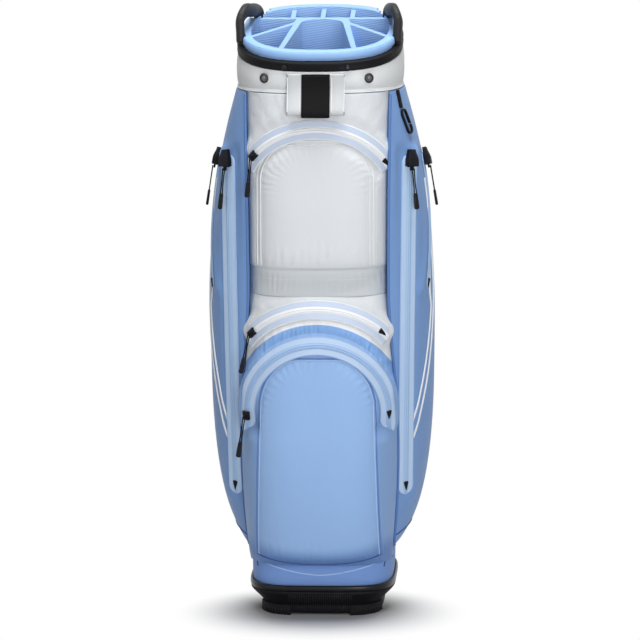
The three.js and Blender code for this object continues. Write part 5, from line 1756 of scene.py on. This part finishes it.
# Side panels: raised seam pairs that arc down the outside, and the seam round each pocket's foot. Stops are
# (degrees, height).
sideSeams = {"pale": [[(-8.5, 640), (-10, 540), (-14, 445), (-20, 372), (-27, 315), (-33, 270)],
                      [(-3.5, 640), (-5, 540), (-9.5, 445), (-15.5, 372), (-23, 312), (-30, 262)]],
             "foot": [[(-50, 105), (-40, 112), (-28, 120), (-10, 126), (20, 122), (50, 118)]],
             "deep": [[(-30, 640), (-31, 520), (-34, 400), (-38, 300), (-42, 220)]]}


def sidePath(stops, side):
    line = resample([Vector((angle * 4, z, 0)) for angle, z in stops], 60)
    soft = [(line[max(i - 4, 0)] + line[i] * 2 + line[min(i + 4, 59)]) / 4 for i in range(1, 59)]
    hits = []
    for p in [line[0]] + soft + [line[-1]]:
        plan = sidePlan(p.y)
        x, y = planPoint(plan, math.radians(p.x / 4))
        hits.append(towards(sideTrees, (x, y, p.y), planNormal(plan, x, y)))
    return laid(hits, 0, side)


def bothSides(kind):
    return [sidePath(stops, side) for stops in sideSeams[kind] for side in (1, -1)]


settle(piping("sidePaleSeams", bothSides("pale"), 1.8, pipingWhite), "bag", "blue_cloth")
settle(piping("sideDeepSeams", bothSides("deep"), 1.0, pipingBlue), "bag", "blue_cloth")
footHits = [fromFront(tubeTrees, mix(93, 104, k / 12), mix(70, 106, (k / 12) ** 0.8)) for k in range(13)]
footSeams = bothSides("foot") + [laid(footHits, 0, side) for side in (1, -1)]
settle(piping("sideFootSeams", footSeams, 1.1, seamBlue), "bag", "blue_cloth")

# A welt where the front pockets meet the side pockets, over the gap between them. Its deep blue is painted
# shade: the shaded strip along the side panel's front edge.
welt = {"low": 88, "step": 5.92, "count": 116, "aside": 1.7}
weltLevels = [welt["low"] + k * welt["step"] for k in range(welt["count"])]
weltHits = [fromFront(sideTrees, pocketEdge(z) + welt["aside"], z) for z in weltLevels]
settle(piping("pocketWelts", [laid(weltHits, 0, side) for side in (1, -1)], 2.1, weltBlue), "bag",
       "blue_cloth")
print("seams done")

# CAD parts that show as they are
plain = {"stay_left": stayFibre, "stay_right": stayFibre, "stay_rear": stayFibre,
         "divider_panels": cloth["panels"]}
for node, finish in plain.items():
    nodes[node].data.materials.clear()
    nodes[node].data.materials.append(finish)


# Floor, light and camera.

stageSettings = {"floor": 60.0, "sky": 0.12, "key": 53, "fill": 8, "top": 84, "near": 0.42, "wide": 0.222,
                 "deep": 0.182, "ahead": -0.075}


# What the camera sees is white; as light, the room is dim.
def whiteRoom():
    scene.world = bpy.data.worlds.new("studio")
    scene.world.use_nodes = True
    room = ShaderTree(scene.world.node_tree)
    level = room.node("ShaderNodeMapRange", (), {"Value": room.seen(), "To Min": stageSettings["sky"],
                                                 "To Max": 1.0}, "Result")
    room.tree.nodes["Background"].inputs["Color"].default_value = (1, 1, 1, 1)
    room.link(level, "Background", "Strength")


# The floor takes the bag's shadow near it and is plain white further off.
def paleFloor():
    half = stageSettings["floor"] / 2
    mesh = bpy.data.meshes.new("floor")
    mesh.from_pydata([(-half, -half, 0), (half, -half, 0), (half, half, 0), (-half, half, 0)], [],
                     [(0, 1, 2, 3)])
    finish = Finish("paleFloor", (206, 206, 206), 0.9, Specular_IOR_Level=0.0)
    x, y, _ = finish.parts(finish.place())
    away = reach(x / stageSettings["wide"], (y - stageSettings["ahead"]) / stageSettings["deep"])
    clear = finish.ramp(away, stageSettings["near"], 1.0)
    glow = finish.node("ShaderNodeEmission", (), {"Strength": 1.0})
    both = finish.node("ShaderNodeMixShader", (),
                       {0: finish.seen() * clear, 1: finish.shader.outputs[0], 2: glow})
    finish.link(both, "Material Output", "Surface")
    mesh.materials.append(finish.material)
    linked("floor", mesh)


def softLamp(name, place, size, power):
    lamp = bpy.data.lights.new(name, "AREA")
    lamp.shape = "RECTANGLE"
    lamp.size, lamp.size_y = size
    lamp.energy = power
    holder = linked(name, lamp)
    holder.location = place
    holder.rotation_euler = (Vector((0, 0, 0.45)) - Vector(place)).to_track_quat("-Z", "Y").to_euler()


whiteRoom()
paleFloor()
softLamp("keyLamp", (1.0, -3.2, 0.95), (1.3, 1.7), stageSettings["key"])
softLamp("fillLamp", (-2.2, -2.4, 1.2), (1.6, 1.8), stageSettings["fill"])
softLamp("topLamp", (0.1, -0.3, 3.1), (1.5, 1.5), stageSettings["top"])

cameraSettings = {"side": 3.5, "down": 9.427, "roll": 0.46, "lens": 230.27, "away": 6.0, "height": 1.42,
                  "shift": -0.00433, "sensor": 36, "clip": 200}
eye = bpy.data.cameras.new("camera")
eye.lens = cameraSettings["lens"]
eye.sensor_width = cameraSettings["sensor"]
eye.shift_x = cameraSettings["shift"]
eye.clip_end = cameraSettings["clip"]
camera = linked("camera", eye)
turn = math.radians(cameraSettings["side"])
camera.matrix_world = (
    Matrix.Translation((math.sin(turn) * cameraSettings["away"],
                        -math.cos(turn) * cameraSettings["away"] + middleY / 1000, cameraSettings["height"]))
    @ Matrix.Rotation(turn, 4, "Z") @ Matrix.Rotation(math.radians(90 - cameraSettings["down"]), 4, "X")
    @ Matrix.Rotation(math.radians(-cameraSettings["roll"]), 4, "Z"))
scene.camera = camera
scene.view_settings.view_transform = "Standard"
for spare in (stitch, uprightRib, baseRib, slopedRib, footRib):
    bpy.data.objects.remove(spare)
